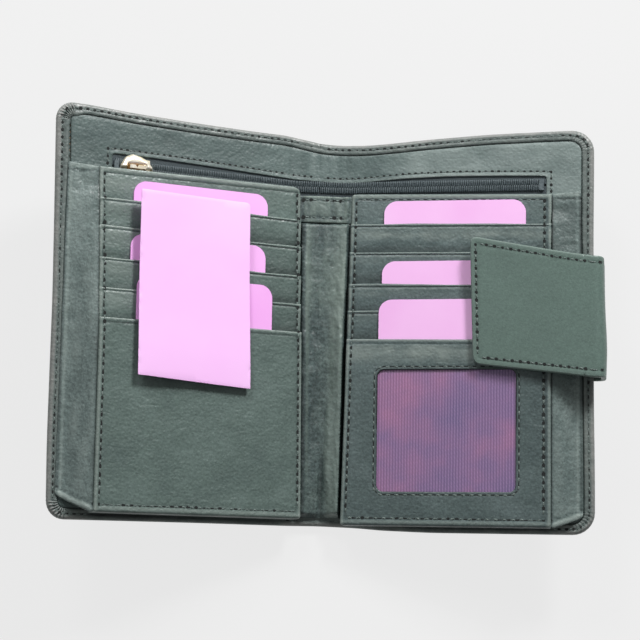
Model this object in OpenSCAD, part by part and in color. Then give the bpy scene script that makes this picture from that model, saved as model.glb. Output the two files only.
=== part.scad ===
// Coupon organizer wallet, lying open with both covers sprung up from the spine.
// Each half is drawn in its own frame: x outward from its hinge line, y up the page,
// z away from the outer leather face. The part frame has its origin under the spine.

/* [Covers] */
// Width of one cover from its hinge line to the outer edge
cover_w = 117; // [105:1:135]
// Height of the covers
cover_h = 184; // [170:1:210]
// Thickness of a cover over leather, board and lining
cover_t = 3.2; // [3:0.1:4]
// Corner radius of the covers
cover_r = 7; // [4:0.5:12]
// Thickness of the outer leather
leather_t = 1; // [0.8:0.1:1.2]
// Width of the turned hem
hem_w = 5; // [4:0.5:7]
// Thickness of the stiffening board
board_t = 1; // [0.8:0.1:1.2]
// Thickness of the lining leather
lining_t = 0.6; // [0.4:0.1:0.8]
// Width of the spine between the two hinge lines
spine_w = 22.4; // [22:0.2:30]
// How much lower the spine's ends sit than the covers' ends
spine_dip = 3; // [1:0.5:5]
// Angle of the left cover above the table
open_left = 20; // [0:1:60]
// Angle of the right cover above the table
open_right = 14.5; // [0:0.5:60]

/* [Zip] */
// Distance from the covers' top edge down to the zip's centre line
zip_drop = 25; // [17:0.5:32]
// Height of the zip's window in the lining
zip_window_h = 10; // [9:0.5:12]
// Distance from the left hinge line to the left end of the window
zip_left_end = 90.5; // [80:0.5:100]
// Distance from the right hinge line to the right end of the window
zip_right_end = 94; // [80:0.5:100]
// Width of the chain over both rows
chain_w = 5; // [4:0.2:6]
// Thickness of the chain
chain_t = 1.2; // [1:0.1:1.4]
// Distance from one chain element to the next
chain_pitch = 1.5; // [1.2:0.1:2]
// Thickness of the zip's fabric tape
tape_t = 0.3; // [0.2:0.05:0.4]
// Distance from the left hinge line to the slider
slider_u = 79; // [20:1:82]
// Length of the slider's body
slider_l = 12; // [10:0.5:13]
// Width of the slider's body
slider_w = 8; // [7.6:0.1:8.6]
// Length of the pull from its eye to its tip
pull_l = 21; // [15:1:26]

/* [Pages] */
// Width of the left page
page_w_left = 96; // [90:0.5:100]
// Width of the right page
page_w_right = 93.5; // [90:0.5:100]
// Height of the pages
page_h = 151; // [140:1:160]
// Distance from the covers' foot up to the left page's foot
page_foot_left = 5; // [3:0.5:8]
// Distance from the covers' foot up to the right page's foot
page_foot_right = 3; // [3:0.5:8]
// Distance from the left hinge line to the left page
page_in_left = 2.6; // [2.4:0.1:5]
// Distance from the right hinge line to the right page
page_in_right = 4; // [2.4:0.1:5]
// Depth of the left coupon compartment behind its page
coupon_gap_left = 2.6; // [2.4:0.1:3]
// Depth of the right coupon compartment behind its page
coupon_gap_right = 0.4; // [0.4:0.1:0.8]
// Thickness of the page leather
page_t = 0.7; // [0.5:0.05:0.8]
// Distance from the page's top to the first slot
slot_first = 14.2; // [12:0.5:18]
// Distance from one slot edge to the next
slot_pitch = 13.2; // [12:0.2:14]
// Depth of a card pocket below its slot edge
pocket_depth = 46; // [44:1:50]
// Width of the stitched margin at the pockets' sides
pocket_margin = 4; // [3:0.5:4.5]
// Radius of the pages' corners
page_r = 2; // [1:0.5:4]
// Width of the ID window
window_w = 62.5; // [50:0.5:70]
// Height of the ID window
window_h = 55; // [45:0.5:60]
// Height of the leather left under the ID window
window_foot = 15; // [12:0.5:20]
// Distance from the page's inner edge to the ID window
window_in = 14.5; // [10:0.5:20]
// Corner radius of the ID window
window_r = 3; // [2:0.5:6]

/* [Cards] */
// Width of an insert card
card_w = 65; // [50:0.5:85]
// Height of an insert card
card_h = 54; // [50:0.5:56]
// Thickness of a card
card_t = 0.76; // [0.5:0.02:0.8]
// Corner radius of an insert card
card_r = 6; // [2:0.5:8]
// Clearance between a card and each wall of its pocket
card_gap = 0.07; // [0.05:0.01:0.12]
// Width of the loose card
loose_w = 54; // [50:0.5:56]
// Height of the loose card
loose_h = 85.6; // [80:0.2:88]
// Corner radius of the loose card
loose_r = 0.6; // [0.5:0.1:4]

/* [Strap] */
// Thickness of the strap over both layers
strap_t = 2.4; // [2:0.1:2.8]
// Width of the strap where it turns round the edge
strap_root_w = 54; // [40:1:60]
// Width of the strap at its tip
strap_tip_w = 58.5; // [40:1:64]
// Height of the strap's middle at its root
strap_root_y = 3.5; // [-10:0.5:15]
// Height of the strap's middle at its tip
strap_tip_y = 12.6; // [-10:0.2:20]
// Distance from the right hinge line to the strap's tip
strap_tip_u = 61; // [50:1:80]
// Length of the strap stitched to the back of the cover
anchor_l = 30; // [20:1:45]
// Radius of the closure's hidden magnets
magnet_r = 7; // [5:0.5:9]

/* [Hidden] */
$fn = 48;

// Hinge lines run inside the covers' rounded spine edges
hinge_z = cover_t / 2;
// Running gap at every folded edge
fold_gap = 0.3;
// Clearance between pieces laid side by side in one half
lay_gap = 0.2;
half_h = cover_h / 2;
spine_half_h = half_h - spine_dip;
zip_y = half_h - zip_drop;
page_top_left = page_h + page_foot_left - half_h;
page_top_right = page_h + page_foot_right - half_h;
spine_half_w = spine_w / 2 - hinge_z - fold_gap;
spine_hem = hem_w * 0.6;
spine_reach = spine_half_h - spine_hem - lay_gap;
// Levels through a cover, from its outer face
board_top = leather_t + 0.03 + board_t;
pocket_sheet_t = 0.2;
tape_z = board_top + pocket_sheet_t;
lining_z = tape_z + tape_t;
lining_top = lining_z + lining_t;
chain_z = tape_z + tape_t;
chain_top = chain_z + chain_t;
// Gap between the two rows of the chain, where the slider's post runs
chain_split = 0.9;
chain_start = 2.6;
tape_reach = 7;
// Slider levels
slider_plate = 0.7;
slider_run = 0.15;
slider_top = chain_top + 0.2;
slider_base = tape_z - slider_run - slider_plate;
bridge_rise = 0.85;
bridge_beam = 0.65;
bridge_leg_u = 3.2;
pull_t = 0.65;
eye_r = 2.6;
// Levels of the pages
slot_gap = card_t + 2 * card_gap;
pages_z_left = cover_t + coupon_gap_left;
pages_z_right = cover_t + coupon_gap_right;
front_z = pages_z_at(5);
front_top_left = pages_z_left + front_z + page_t;
film_t = 0.2;
id_lift = 2 * film_t;
front_top_right = pages_z_right + front_z + id_lift + page_t;
stack_foot = pocket_depth + slot_first + 3 * slot_pitch + 3;
// Strap levels and hinge lines, measured in the right half
strap_line_u = cover_w + 2.4;
strap_root_z = -strap_t / 2;
strap_fold_z = front_top_right + 0.35 + strap_t / 2;
closed_span = spine_w + 2 * hinge_z;
strap_fold_l = closed_span + 0.5 + strap_t / 2 - strap_fold_z;
strap_tip_line_u = strap_line_u - strap_fold_l;
magnet_t = 0.8;
magnet_u = strap_tip_u + magnet_r + 5;
magnet_y = strap_mid(magnet_u);

// Height of a slot panel's base above the page's own base; slots 1, 3 and 5 hold a card
function pages_z_at(k) = page_t * k + slot_gap * ceil(k / 2);
// Middle and width of the strap at a distance from the hinge line
function strap_share(u) = (strap_line_u - u) / (strap_line_u - strap_tip_u);
function strap_mid(u) = strap_root_y + (strap_tip_y - strap_root_y) * max(0, strap_share(u));
function strap_wide(u) = strap_root_w + (strap_tip_w - strap_root_w) * max(0, strap_share(u));

// Places a half drawn from its hinge line at its angle above the table
module half_frame(angle) {
    translate([spine_w / 2, 0, hinge_z])
        rotate([0, -angle, 0])
            translate([0, 0, -hinge_z])
                children();
}

module right_half() {
    half_frame(open_right)
        children();
}

module left_half() {
    mirror([1, 0, 0])
        half_frame(open_left)
            children();
}

// Slab between two corners
module slab(low, high) {
    translate(low)
        cube(high - low);
}

// Flat rectangle with four round corners, from its lower left corner
module round_rect(w, h, r) {
    translate([r, 0])
        square([w - 2 * r, h]);
    translate([0, r])
        square([w, h - 2 * r]);
    for (x = [r, w - r], y = [r, h - r])
        translate([x, y])
            circle(r);
}

// Rounded bar along y
module bar(u, z, r, low, high) {
    translate([u, low, z])
        rotate([-90, 0, 0])
            cylinder(r = r, h = high - low);
}

// Rounded bar along the width
module cross_bar(y, z, r, low, high) {
    translate([low, y, z])
        rotate([0, 90, 0])
            cylinder(r = r, h = high - low);
}

// One cover: rolled edges on three sides, a round nose at the hinge line, rounded corners
module rolled_cover() {
    r = cover_t / 2;
    intersection() {
        union() {
            slab([0, -half_h, 0], [cover_w - r, half_h, cover_t]);
            bar(0, r, r, -half_h, half_h);
            bar(cover_w - r, r, r, -half_h, half_h);
        }
        union() {
            slab([-cover_t, r - half_h, 0], [cover_w, half_h - r, cover_t]);
            for (side = [-1, 1])
                cross_bar(side * (half_h - r), r, r, -cover_t, cover_w);
        }
        translate([-cover_w, -half_h])
            linear_extrude(cover_t)
                round_rect(2 * cover_w, cover_h, cover_r);
    }
}

// Outline inside the hem, where board and lining lie, less a clearance
module inside_hem(low, gap) {
    r = max(cover_r - hem_w, 1);
    intersection() {
        translate([-cover_w, hem_w - half_h + gap])
            round_rect(2 * cover_w - hem_w - gap, cover_h - 2 * hem_w - 2 * gap, r);
        translate([low, -half_h])
            square([cover_w, cover_h]);
    }
}

// Outer leather of one half: face, rolled edges and turned hem in one piece
module cover_leather() {
    color("darkslategray")
        difference() {
            rolled_cover();
            translate([0, 0, leather_t])
                linear_extrude(cover_t)
                    inside_hem(1, 0);
        }
}

// Long slot along the zip that lets the slider's base plate pass
module zip_slot(last, half, low_z) {
    slab([chain_start, zip_y - half, low_z], [last, zip_y + half, cover_t + 1]);
}

module board(last) {
    difference() {
        translate([0, 0, board_top - board_t])
            linear_extrude(board_t)
                inside_hem(1.2, lay_gap);
        zip_slot(last + 2, zip_window_h / 2 - 0.2, 0);
    }
}

module lining(last) {
    color("darkslategray")
        difference() {
            translate([0, 0, lining_z])
                linear_extrude(lining_t)
                    inside_hem(1.2, lay_gap);
            translate([0, 0, -1])
                slab([0, zip_y - zip_window_h / 2, 0], [last, zip_y + zip_window_h / 2, cover_t + 2]);
        }
}

// The two fabric tapes of the zip, one each side of the slider's post
module zip_tape(first, last) {
    color("midnightblue")
        for (side = [-1, 1])
            slab([first, zip_y + side * (tape_reach + chain_split / 2) / 2 - (tape_reach - chain_split / 2) / 2, tape_z],
                [last, zip_y + side * (tape_reach + chain_split / 2) / 2 + (tape_reach - chain_split / 2) / 2, lining_z]);
}

// One row of chain elements, toothed towards the middle of the zip
module chain_row(first, last) {
    count = floor((last - first) / chain_pitch);
    tooth = 0.5;
    teeth = [for (i = [0:count - 1], step = [0:3])
        [first + (i + [0.1, 0.3, 0.7, 0.9][step]) * chain_pitch, chain_split / 2 + [tooth, 0, 0, tooth][step]]];
    translate([0, 0, chain_z])
        linear_extrude(chain_t)
            polygon(concat([[first, chain_w / 2], [first, chain_split / 2 + tooth]], teeth,
                [[last, chain_split / 2 + tooth], [last, chain_w / 2]]));
}

module zip_chain(first, last) {
    color("midnightblue")
        translate([0, zip_y, 0])
            for (side = [0, 1])
                mirror([0, side, 0])
                    chain_row(first, last);
}

// Moulded stop over both chain rows at an end of the zip
module zip_stop(end) {
    color("midnightblue")
        slab([end - 3.2, zip_y - chain_w / 2, chain_z], [end - 1, zip_y + chain_w / 2, chain_top]);
}

// Rear sheet of the zip pocket, under the lining
module zip_pocket() {
    color("dimgray")
        slab([6, zip_y - 110, board_top], [cover_w - hem_w - 6, zip_y - zip_window_h / 2, tape_z]);
}

// Outline of the slider: round and broad in front, narrower behind
module slider_outline() {
    front = slider_w / 2;
    nose = slider_l / 2 - front;
    translate([nose, 0])
        circle(front);
    polygon([[nose, -front], [nose, front], [-slider_l / 2, front - 0.4], [-slider_l / 2, 0.4 - front]]);
}

// Slider body: two plates with side flanges, the post between them and the pull's bridge
module zip_slider() {
    inner = chain_w / 2 + 0.3;
    color("gold")
        left_half()
            translate([slider_u, zip_y, 0]) {
                for (z = [slider_base, slider_top])
                    translate([0, 0, z])
                        linear_extrude(slider_plate)
                            slider_outline();
                for (side = [0, 1])
                    mirror([0, side, 0]) {
                        slab([-slider_l / 2, inner, lining_z + slider_run],
                            [slider_l / 2 - 4, slider_w / 2 - 0.4, slider_top + slider_plate / 2]);
                        slab([-slider_l / 2, inner, slider_base],
                            [slider_l / 2 - 4, slider_w / 2 - 0.4, tape_z - slider_run]);
                    }
                slab([slider_l / 2 - 3.4, -0.3, slider_base], [slider_l / 2 - 0.8, 0.3, slider_top + 0.1]);
                bridge();
            }
}

// Arched bridge along the slider, which the pull's eye hangs on
module bridge() {
    foot = bridge_leg_u + 0.6;
    top = bridge_rise + bridge_beam;
    translate([0, 0.8, slider_top + slider_plate])
        rotate([90, 0, 0])
            linear_extrude(1.6)
                difference() {
                    polygon([[-foot - 0.4, -0.2], [-foot, top - 0.3], [-foot + 0.9, top], [foot - 0.9, top],
                        [foot, top - 0.3], [foot + 0.4, -0.2]]);
                    polygon([[-foot + 1.2, -1], [-foot + 1.2, bridge_rise], [foot - 1.2, bridge_rise],
                        [foot - 1.2, -1]]);
                }
}

// Pull: an eye round the bridge's rear leg and a flat tab pointing down the page
module zip_pull() {
    tab_w = 6;
    neck_w = 2.6;
    color("gold")
        left_half()
            translate([slider_u - bridge_leg_u, zip_y, slider_top + slider_plate + 0.1])
                difference() {
                    linear_extrude(pull_t) {
                        circle(eye_r);
                        translate([-neck_w / 2, -pull_l + tab_w])
                            square([neck_w, pull_l - tab_w - 1]);
                        translate([-tab_w / 2, -pull_l + 1])
                            round_rect(tab_w, pull_l * 0.6, 2);
                    }
                    translate([0, 0, -1])
                        cylinder(r = 1.4, h = 3);
                    translate([0, -pull_l + 5, -1])
                        cylinder(r = 1.3, h = 3);
                }
}

// Sheet of page leather with round corners on its spine side
module page_sheet(inner, w, top, foot, z, t) {
    translate([inner, foot, z])
        linear_extrude(t) {
            round_rect(w, top - foot, page_r);
            translate([page_r, 0])
                square([w - page_r, top - foot]);
        }
}

module divider(inner, w, top, z) {
    color("darkslategray")
        page_sheet(inner, w, top, top - page_h, z, page_t);
}

// Card slot: a leather strip with a rolled upper edge over the slots before it
module slot_strip(inner, w, top, z, k) {
    edge = top - slot_first - (k - 1) * slot_pitch;
    foot = top - stack_foot;
    holds_card = k % 2 == 1;
    base = z + pages_z_at(k) - (holds_card ? slot_gap : 0);
    color("darkslategray")
        difference() {
            union() {
                slab([inner, foot, base], [inner + w, edge - page_t / 2, z + pages_z_at(k) + page_t]);
                cross_bar(edge - page_t / 2, z + pages_z_at(k) + page_t / 2, page_t / 2, inner, inner + w);
            }
            if (holds_card)
                slab([inner + pocket_margin, edge - pocket_depth, base - 1],
                    [inner + w - pocket_margin, edge + 1, z + pages_z_at(k)]);
        }
}

// Front panel below the last slot, boxed down to the divider at its sides and foot
module front_panel(inner, w, top, z, lift) {
    edge = top - slot_first - 4 * slot_pitch;
    foot = top - page_h;
    wall = 2.6;
    under = z + pages_z_at(5) - slot_gap;
    face = z + pages_z_at(5) + lift;
    difference() {
        union() {
            slab([inner, foot, under], [inner + w, edge - page_t / 2, face + page_t]);
            cross_bar(edge - page_t / 2, face + page_t / 2, page_t / 2, inner, inner + w);
            slab([inner, foot, z + page_t], [inner + w, top - stack_foot, under]);
        }
        slab([inner + pocket_margin, edge - pocket_depth, under - 1],
            [inner + w - pocket_margin, edge + 1, face - lift]);
        slab([inner + wall, foot + wall, z], [inner + w - wall, top - stack_foot + 1, face - lift]);
    }
}

// Place of the ID window in the right half
window_u = page_in_right + window_in;
window_y = page_top_right - page_h + window_foot;

module window_outline(grow) {
    translate([window_u - grow, window_y - grow])
        round_rect(window_w + 2 * grow, window_h + 2 * grow, window_r);
}

module id_panel() {
    face = pages_z_right + pages_z_at(5);
    color("darkslategray")
        right_half()
            difference() {
                front_panel(page_in_right, page_w_right, page_top_right, pages_z_right, id_lift);
                translate([0, 0, face - 1])
                    linear_extrude(5)
                        window_outline(0);
                translate([0, 0, face - 0.5])
                    linear_extrude(0.5 + id_lift)
                        window_outline(3);
            }
}

// Clear sheet of the ID window and the satin behind it
module id_sheet(level) {
    right_half()
        translate([0, 0, pages_z_right + pages_z_at(5) + level])
            linear_extrude(film_t)
                window_outline(3 - lay_gap);
}

// Side gusset of the coupon compartment, from the hem up to the page's edge
module wing(page_edge, page_z, top, foot) {
    hem = cover_w - hem_w;
    corner = 9;
    color("darkslategray")
        difference() {
            translate([0, top, 0])
                rotate([90, 0, 0])
                    linear_extrude(top - foot)
                        polygon([[page_edge, page_z], [page_edge, page_z + page_t], [page_edge + 3, page_z + page_t],
                            [hem, cover_t + page_t], [hem, cover_t], [page_edge + 3, page_z]]);
            translate([hem, foot, 0])
                rotate([0, 0, 35])
                    slab([-3 * corner, -2 * corner, 0], [2 * corner, 0, 20]);
        }
}

// Strip that closes the foot of the coupon compartment
module bottom_seam(inner, w, foot, z) {
    color("darkslategray")
        slab([inner + 2, foot, cover_t], [inner + w - 2, foot + 3, z]);
}

// A card lying in a pocket of one half
module card(u, top, z) {
    color("plum")
        translate([u - card_w / 2, top - card_h, z + card_gap])
            linear_extrude(card_t)
                round_rect(card_w, card_h, card_r);
}

// Stretch of the strap lying flat in the right half between two distances from the hinge line
module strap_run(low, high, z, t) {
    translate([0, 0, z])
        linear_extrude(t)
            polygon([for (end = [[low, -1], [high, -1], [high, 1], [low, 1]])
                [end[0], strap_mid(end[0]) + end[1] * strap_wide(end[0]) / 2]]);
}

// Round nose of a strap piece along its hinge line
module strap_nose(u, z) {
    bar(u, z, strap_t / 2, strap_mid(u) - strap_wide(u) / 2, strap_mid(u) + strap_wide(u) / 2);
}

module strap_anchor() {
    color("darkslategray")
        right_half()
            slab([cover_w - anchor_l, strap_root_y - strap_root_w / 2, -strap_t],
                [strap_line_u - strap_t / 2 - fold_gap, strap_root_y + strap_root_w / 2, 0]);
}

module strap_neck() {
    color("darkslategray")
        right_half() {
            strap_nose(strap_line_u, strap_root_z);
            slab([strap_line_u - strap_t / 2, strap_root_y - strap_root_w / 2, strap_root_z],
                [strap_line_u + strap_t / 2, strap_root_y + strap_root_w / 2,
                    strap_fold_z - strap_t / 2 - fold_gap]);
        }
}

module strap_fold() {
    color("darkslategray")
        right_half() {
            strap_nose(strap_line_u, strap_fold_z);
            strap_run(strap_tip_line_u + strap_t / 2 + fold_gap, strap_line_u, strap_fold_z - strap_t / 2, strap_t);
        }
}

module strap_tab() {
    color("seagreen")
        right_half()
            intersection() {
                union() {
                    strap_nose(strap_tip_line_u, strap_fold_z);
                    strap_run(strap_tip_u, strap_tip_line_u, strap_fold_z, strap_t / 2);
                }
                slab([0, -half_h, strap_fold_z], [cover_w, half_h, strap_fold_z + strap_t]);
            }
}

module strap_tab_lining() {
    color("darkslategray")
        right_half()
            difference() {
                intersection() {
                    union() {
                        strap_nose(strap_tip_line_u, strap_fold_z);
                        strap_run(strap_tip_u, strap_tip_line_u, strap_fold_z - strap_t / 2, strap_t / 2);
                    }
                    slab([0, -half_h, 0], [cover_w, half_h, strap_fold_z]);
                }
                translate([magnet_u, magnet_y, strap_fold_z - magnet_t])
                    cylinder(r = magnet_r + 0.1, h = 2);
            }
}

module magnet_tab() {
    color("silver")
        right_half()
            translate([magnet_u, magnet_y, strap_fold_z - magnet_t])
                cylinder(r = magnet_r, h = magnet_t);
}

// Magnet in the left board, under the tab's magnet when the wallet is closed
module magnet_cover() {
    color("silver")
        left_half()
            translate([magnet_u + strap_fold_l, magnet_y, board_top - board_t])
                cylinder(r = magnet_r, h = board_t);
}

module board_left() {
    color("tan")
        left_half()
            difference() {
                board(zip_left_end);
                translate([magnet_u + strap_fold_l, magnet_y, 0])
                    cylinder(r = magnet_r + 0.1, h = cover_t);
            }
}

module board_right() {
    color("tan")
        right_half()
            board(zip_right_end);
}

module board_spine() {
    color("tan")
        slab([-spine_half_w, -spine_reach, board_top - board_t], [spine_half_w, spine_reach, board_top]);
}

// Spine leather with rolled and turned ends
module cover_leather_spine() {
    reach = spine_half_h - hinge_z;
    color("darkslategray")
        difference() {
            union() {
                slab([-spine_half_w, -reach, 0], [spine_half_w, reach, cover_t]);
                for (side = [-1, 1])
                    cross_bar(side * reach, hinge_z, hinge_z, -spine_half_w, spine_half_w);
            }
            slab([-spine_w, spine_hem - spine_half_h, leather_t], [spine_w, spine_half_h - spine_hem, cover_t + 1]);
        }
}

// Spine lining, in two pieces above and below the zip's window
module lining_spine() {
    color("darkslategray")
        difference() {
            slab([-spine_half_w, -spine_reach, lining_z], [spine_half_w, spine_reach, lining_top]);
            slab([-spine_w, zip_y - zip_window_h / 2, 0], [spine_w, zip_y + zip_window_h / 2, cover_t]);
        }
}

// Divider leather over the spine, between the two pages
divider_spine_top = page_top_right - 12;
module divider_spine() {
    color("darkslategray")
        slab([-spine_half_w, -spine_reach, lining_top], [spine_half_w, divider_spine_top, lining_top + page_t]);
}

// Turned strip with two stitch rows at the compartment's mouth, over the spine
module mouth_strip() {
    color("darkslategray")
        slab([-spine_half_w, divider_spine_top, lining_top], [spine_half_w, page_top_right, lining_top + page_t]);
}

// Where each card lies: distance from the hinge line, and from the page's top down to its own
left_cards = [[48.6, 3.6], [50.2, 28], [47.5, 46.2]];
right_cards = [[52.4, 2], [52, 30.5], [51, 48.6]];
loose_card = [53.2, 8];

left_half() cover_leather();  // cover_leather_left
cover_leather_spine();
right_half() cover_leather();  // cover_leather_right
board_left();
board_spine();
board_right();
left_half() lining(zip_left_end);  // lining_left
lining_spine();
right_half() lining(zip_right_end);  // lining_right
left_half() zip_tape(chain_start, zip_left_end);  // zip_tape_left
zip_tape(-spine_half_w + 0.6, spine_half_w - 0.6);  // zip_tape_spine
right_half() zip_tape(chain_start, zip_right_end);  // zip_tape_right
left_half() zip_chain(chain_start, zip_left_end - 3.4);  // zip_chain_left
zip_chain(-spine_half_w + 0.6, spine_half_w - 0.6);  // zip_chain_spine
right_half() zip_chain(chain_start, zip_right_end - 3.4);  // zip_chain_right
left_half() zip_stop(zip_left_end);  // zip_stop_left
right_half() zip_stop(zip_right_end);  // zip_stop_right
left_half() zip_pocket();  // zip_pocket_left
right_half() zip_pocket();  // zip_pocket_right
zip_slider();
zip_pull();
left_half() divider(page_in_left, page_w_left, page_top_left, pages_z_left);  // divider_left
divider_spine();
right_half() divider(page_in_right, page_w_right, page_top_right, pages_z_right);  // divider_right
mouth_strip();
left_half() bottom_seam(page_in_left, page_w_left, page_top_left - page_h, pages_z_left);  // bottom_seam_left
right_half() bottom_seam(page_in_right, page_w_right, page_top_right - page_h, pages_z_right);  // bottom_seam_right
left_half() wing(page_in_left + page_w_left, pages_z_left, page_top_left + 2, page_top_left - page_h);  // wing_left
right_half() wing(page_in_right + page_w_right, pages_z_right, page_top_right + 2, page_top_right - page_h);  // wing_right
for (k = [1:4]) {
    left_half() slot_strip(page_in_left, page_w_left, page_top_left, pages_z_left, k);
    right_half() slot_strip(page_in_right, page_w_right, page_top_right, pages_z_right, k);
}
color("darkslategray") left_half() front_panel(page_in_left, page_w_left, page_top_left, pages_z_left, 0);  // front_panel_left
id_panel();
color("lavender", 0.4) id_sheet(film_t);  // id_film
color("rebeccapurple") id_sheet(0);  // id_lining
strap_anchor();
strap_neck();
strap_fold();
strap_tab();
strap_tab_lining();
magnet_tab();
magnet_cover();
for (k = [0:2]) {
    left_half()
            card(left_cards[k][0], page_top_left - left_cards[k][1], pages_z_left + pages_z_at(2 * k + 1) - slot_gap);
    right_half()
            card(right_cards[k][0], page_top_right - right_cards[k][1],
                pages_z_right + pages_z_at(2 * k + 1) - slot_gap);
}
color("plum") left_half()  // card_loose
        translate([loose_card[0] - loose_w / 2, page_top_left - loose_card[1] - loose_h, front_top_left + 0.1])
            linear_extrude(card_t) round_rect(loose_w, loose_h, loose_r);
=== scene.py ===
import math

import bpy
import numpy as np
from mathutils import Matrix, Vector
from mathutils.geometry import delaunay_2d_cdt


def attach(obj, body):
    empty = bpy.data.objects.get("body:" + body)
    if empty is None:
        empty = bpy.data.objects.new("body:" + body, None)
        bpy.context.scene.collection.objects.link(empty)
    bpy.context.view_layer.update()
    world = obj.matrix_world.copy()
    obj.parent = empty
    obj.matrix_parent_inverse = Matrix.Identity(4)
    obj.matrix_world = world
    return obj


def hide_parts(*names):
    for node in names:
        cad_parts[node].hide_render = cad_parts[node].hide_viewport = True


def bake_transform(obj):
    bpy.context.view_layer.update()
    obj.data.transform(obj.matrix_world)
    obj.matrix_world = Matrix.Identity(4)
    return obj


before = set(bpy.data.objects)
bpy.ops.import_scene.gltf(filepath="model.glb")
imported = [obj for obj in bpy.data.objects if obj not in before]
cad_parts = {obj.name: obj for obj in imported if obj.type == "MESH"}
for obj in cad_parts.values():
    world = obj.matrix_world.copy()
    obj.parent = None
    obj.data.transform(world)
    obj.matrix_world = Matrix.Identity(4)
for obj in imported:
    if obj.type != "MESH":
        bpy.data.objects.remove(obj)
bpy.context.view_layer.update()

# Lengths are in mm up to the last step, where place() turns them into metres. A side is -1 or 1, left or right.
# The functions that shape a sheet take a spot (s or u across, y up) and d, its distance to the sheet's edge.
MM = 0.001
QUARTER = math.pi / 2
HINGE = 11.2                     # the fold of a cover, from the middle of the spine
MID = 1.6                        # middle of a cover's thickness
BEND = 3.0                       # half of the width over which the leather turns
ANGLE = {-1: math.radians(20), 1: math.radians(14.5)}
BODY = {-1: "cover_left", 1: "cover_right"}
TAG = {-1: "left", 1: "right"}


# ---- numbers
def smooth(x, low, high):
    q = np.clip((np.asarray(x, float) - low) / (high - low), 0, 1)
    return q * q * (3 - 2 * q)


def fade(x, low, high):
    return 1 - smooth(x, low, high)


def bell(x, width):
    return np.exp(-(np.asarray(x, float) / width) ** 2)


def ridges(x, *rows):
    """Ridges and furrows across x, each given by its height, place and width."""
    return sum(high * bell(x - at, width) for high, at, width in rows)


def lattice(i, j, seed):
    h = np.sin(i * 127.1 + j * 311.7 + seed * 74.7) * 43758.5453
    return h - np.floor(h)


def noise(x, y, seed=0):
    x, y = np.asarray(x, float), np.asarray(y, float)
    i, j = np.floor(x), np.floor(y)
    p, q = x - i, y - j
    p, q = p * p * (3 - 2 * p), q * q * (3 - 2 * q)
    low = lattice(i, j, seed) * (1 - p) + lattice(i + 1, j, seed) * p
    high = lattice(i, j + 1, seed) * (1 - p) + lattice(i + 1, j + 1, seed) * p
    return 2 * (low * (1 - q) + high * q) - 1


def fbm(x, y, seed=0, octaves=3):
    """Noise in several sizes."""
    total = sum(0.5 ** k * noise(x * 2 ** k, y * 2 ** k, seed + 7 * k) for k in range(octaves))
    return total / 1.75


def roll(d, r):
    """How much a rolled edge of radius r drops at distance d from it."""
    q = np.clip(1 - np.asarray(d, float) / r, 0, 1)
    return r * (1 - np.sqrt(np.maximum(1 - q * q, 0)))


# ---- outlines
def rounded(corners, radius, steps=6):
    """Closed outline with round corners. radius is one number or one for each corner."""
    pts = [np.array(c, float) for c in corners]
    radii = radius if hasattr(radius, "__len__") else [radius] * len(pts)
    out = []
    for k, p in enumerate(pts):
        a, b, r = pts[k - 1], pts[(k + 1) % len(pts)], radii[k]
        if r <= 0:
            out.append(p)
            continue
        u, v = (a - p) / np.linalg.norm(a - p), (b - p) / np.linalg.norm(b - p)
        half_angle = math.acos(np.clip(u @ v, -1, 1)) / 2
        reach = r / math.tan(half_angle)
        centre = p + (u + v) / np.linalg.norm(u + v) * r / math.sin(half_angle)
        first, last = p + u * reach - centre, p + v * reach - centre
        sweep = math.pi - 2 * half_angle
        turn = sweep if first[0] * last[1] - first[1] * last[0] > 0 else -sweep
        for i in range(steps + 1):
            c, s = math.cos(turn * i / steps), math.sin(turn * i / steps)
            out.append(centre + np.array([c * first[0] - s * first[1], s * first[0] + c * first[1]]))
    return np.array(out)


def box_loop(a0, b0, a1, b1, radius, steps=6):
    return rounded([(a0, b0), (a1, b0), (a1, b1), (a0, b1)], radius, steps)


def resample(path, step):
    """Points at most a step apart on a closed path, its own points among them."""
    out = []
    for p, q in zip(path, np.roll(path, -1, 0)):
        count = max(1, int(math.ceil(np.linalg.norm(q - p) / step - 1e-6)))
        out.extend(p + (q - p) * i / count for i in range(count))
    return np.array(out)


def sides_of(loops):
    return np.concatenate(loops), np.concatenate([np.roll(p, -1, 0) for p in loops])


def edge_distance(pts, loops, join):
    """Distance to the outlines, apart from the sides that join another sheet."""
    starts, ends = sides_of(loops)
    real = ~(join(starts) & join(ends))
    starts, ends = starts[real], ends[real]
    way = ends - starts
    long2 = np.maximum((way ** 2).sum(1), 1e-12)
    out, batch = np.empty(len(pts)), 2000
    for k in range(0, len(pts), batch):
        rel = pts[k:k + batch, None] - starts
        t = np.clip((rel * way).sum(2) / long2, 0, 1)
        out[k:k + batch] = np.sqrt(((rel - t[..., None] * way) ** 2).sum(2).min(1))
    return out


def inside(pts, loops):
    starts, ends = sides_of(loops)
    x, y = pts[:, :1], pts[:, 1:]
    crosses = (starts[:, 1] > y) != (ends[:, 1] > y)
    rise = np.where(np.abs(ends[:, 1] - starts[:, 1]) < 1e-12, 1e-12, ends[:, 1] - starts[:, 1])
    at = starts[:, 0] + (y - starts[:, 1]) / rise * (ends[:, 0] - starts[:, 0])
    return (crosses & (x < at)).sum(1) % 2 == 1


def never(p):
    return np.zeros(len(p), bool)


def distance_from(*loops):
    return lambda x, y: edge_distance(np.stack([x, y], 1), loops, never)


def at_middle(p):
    return p[:, 0] < 1e-6


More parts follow.
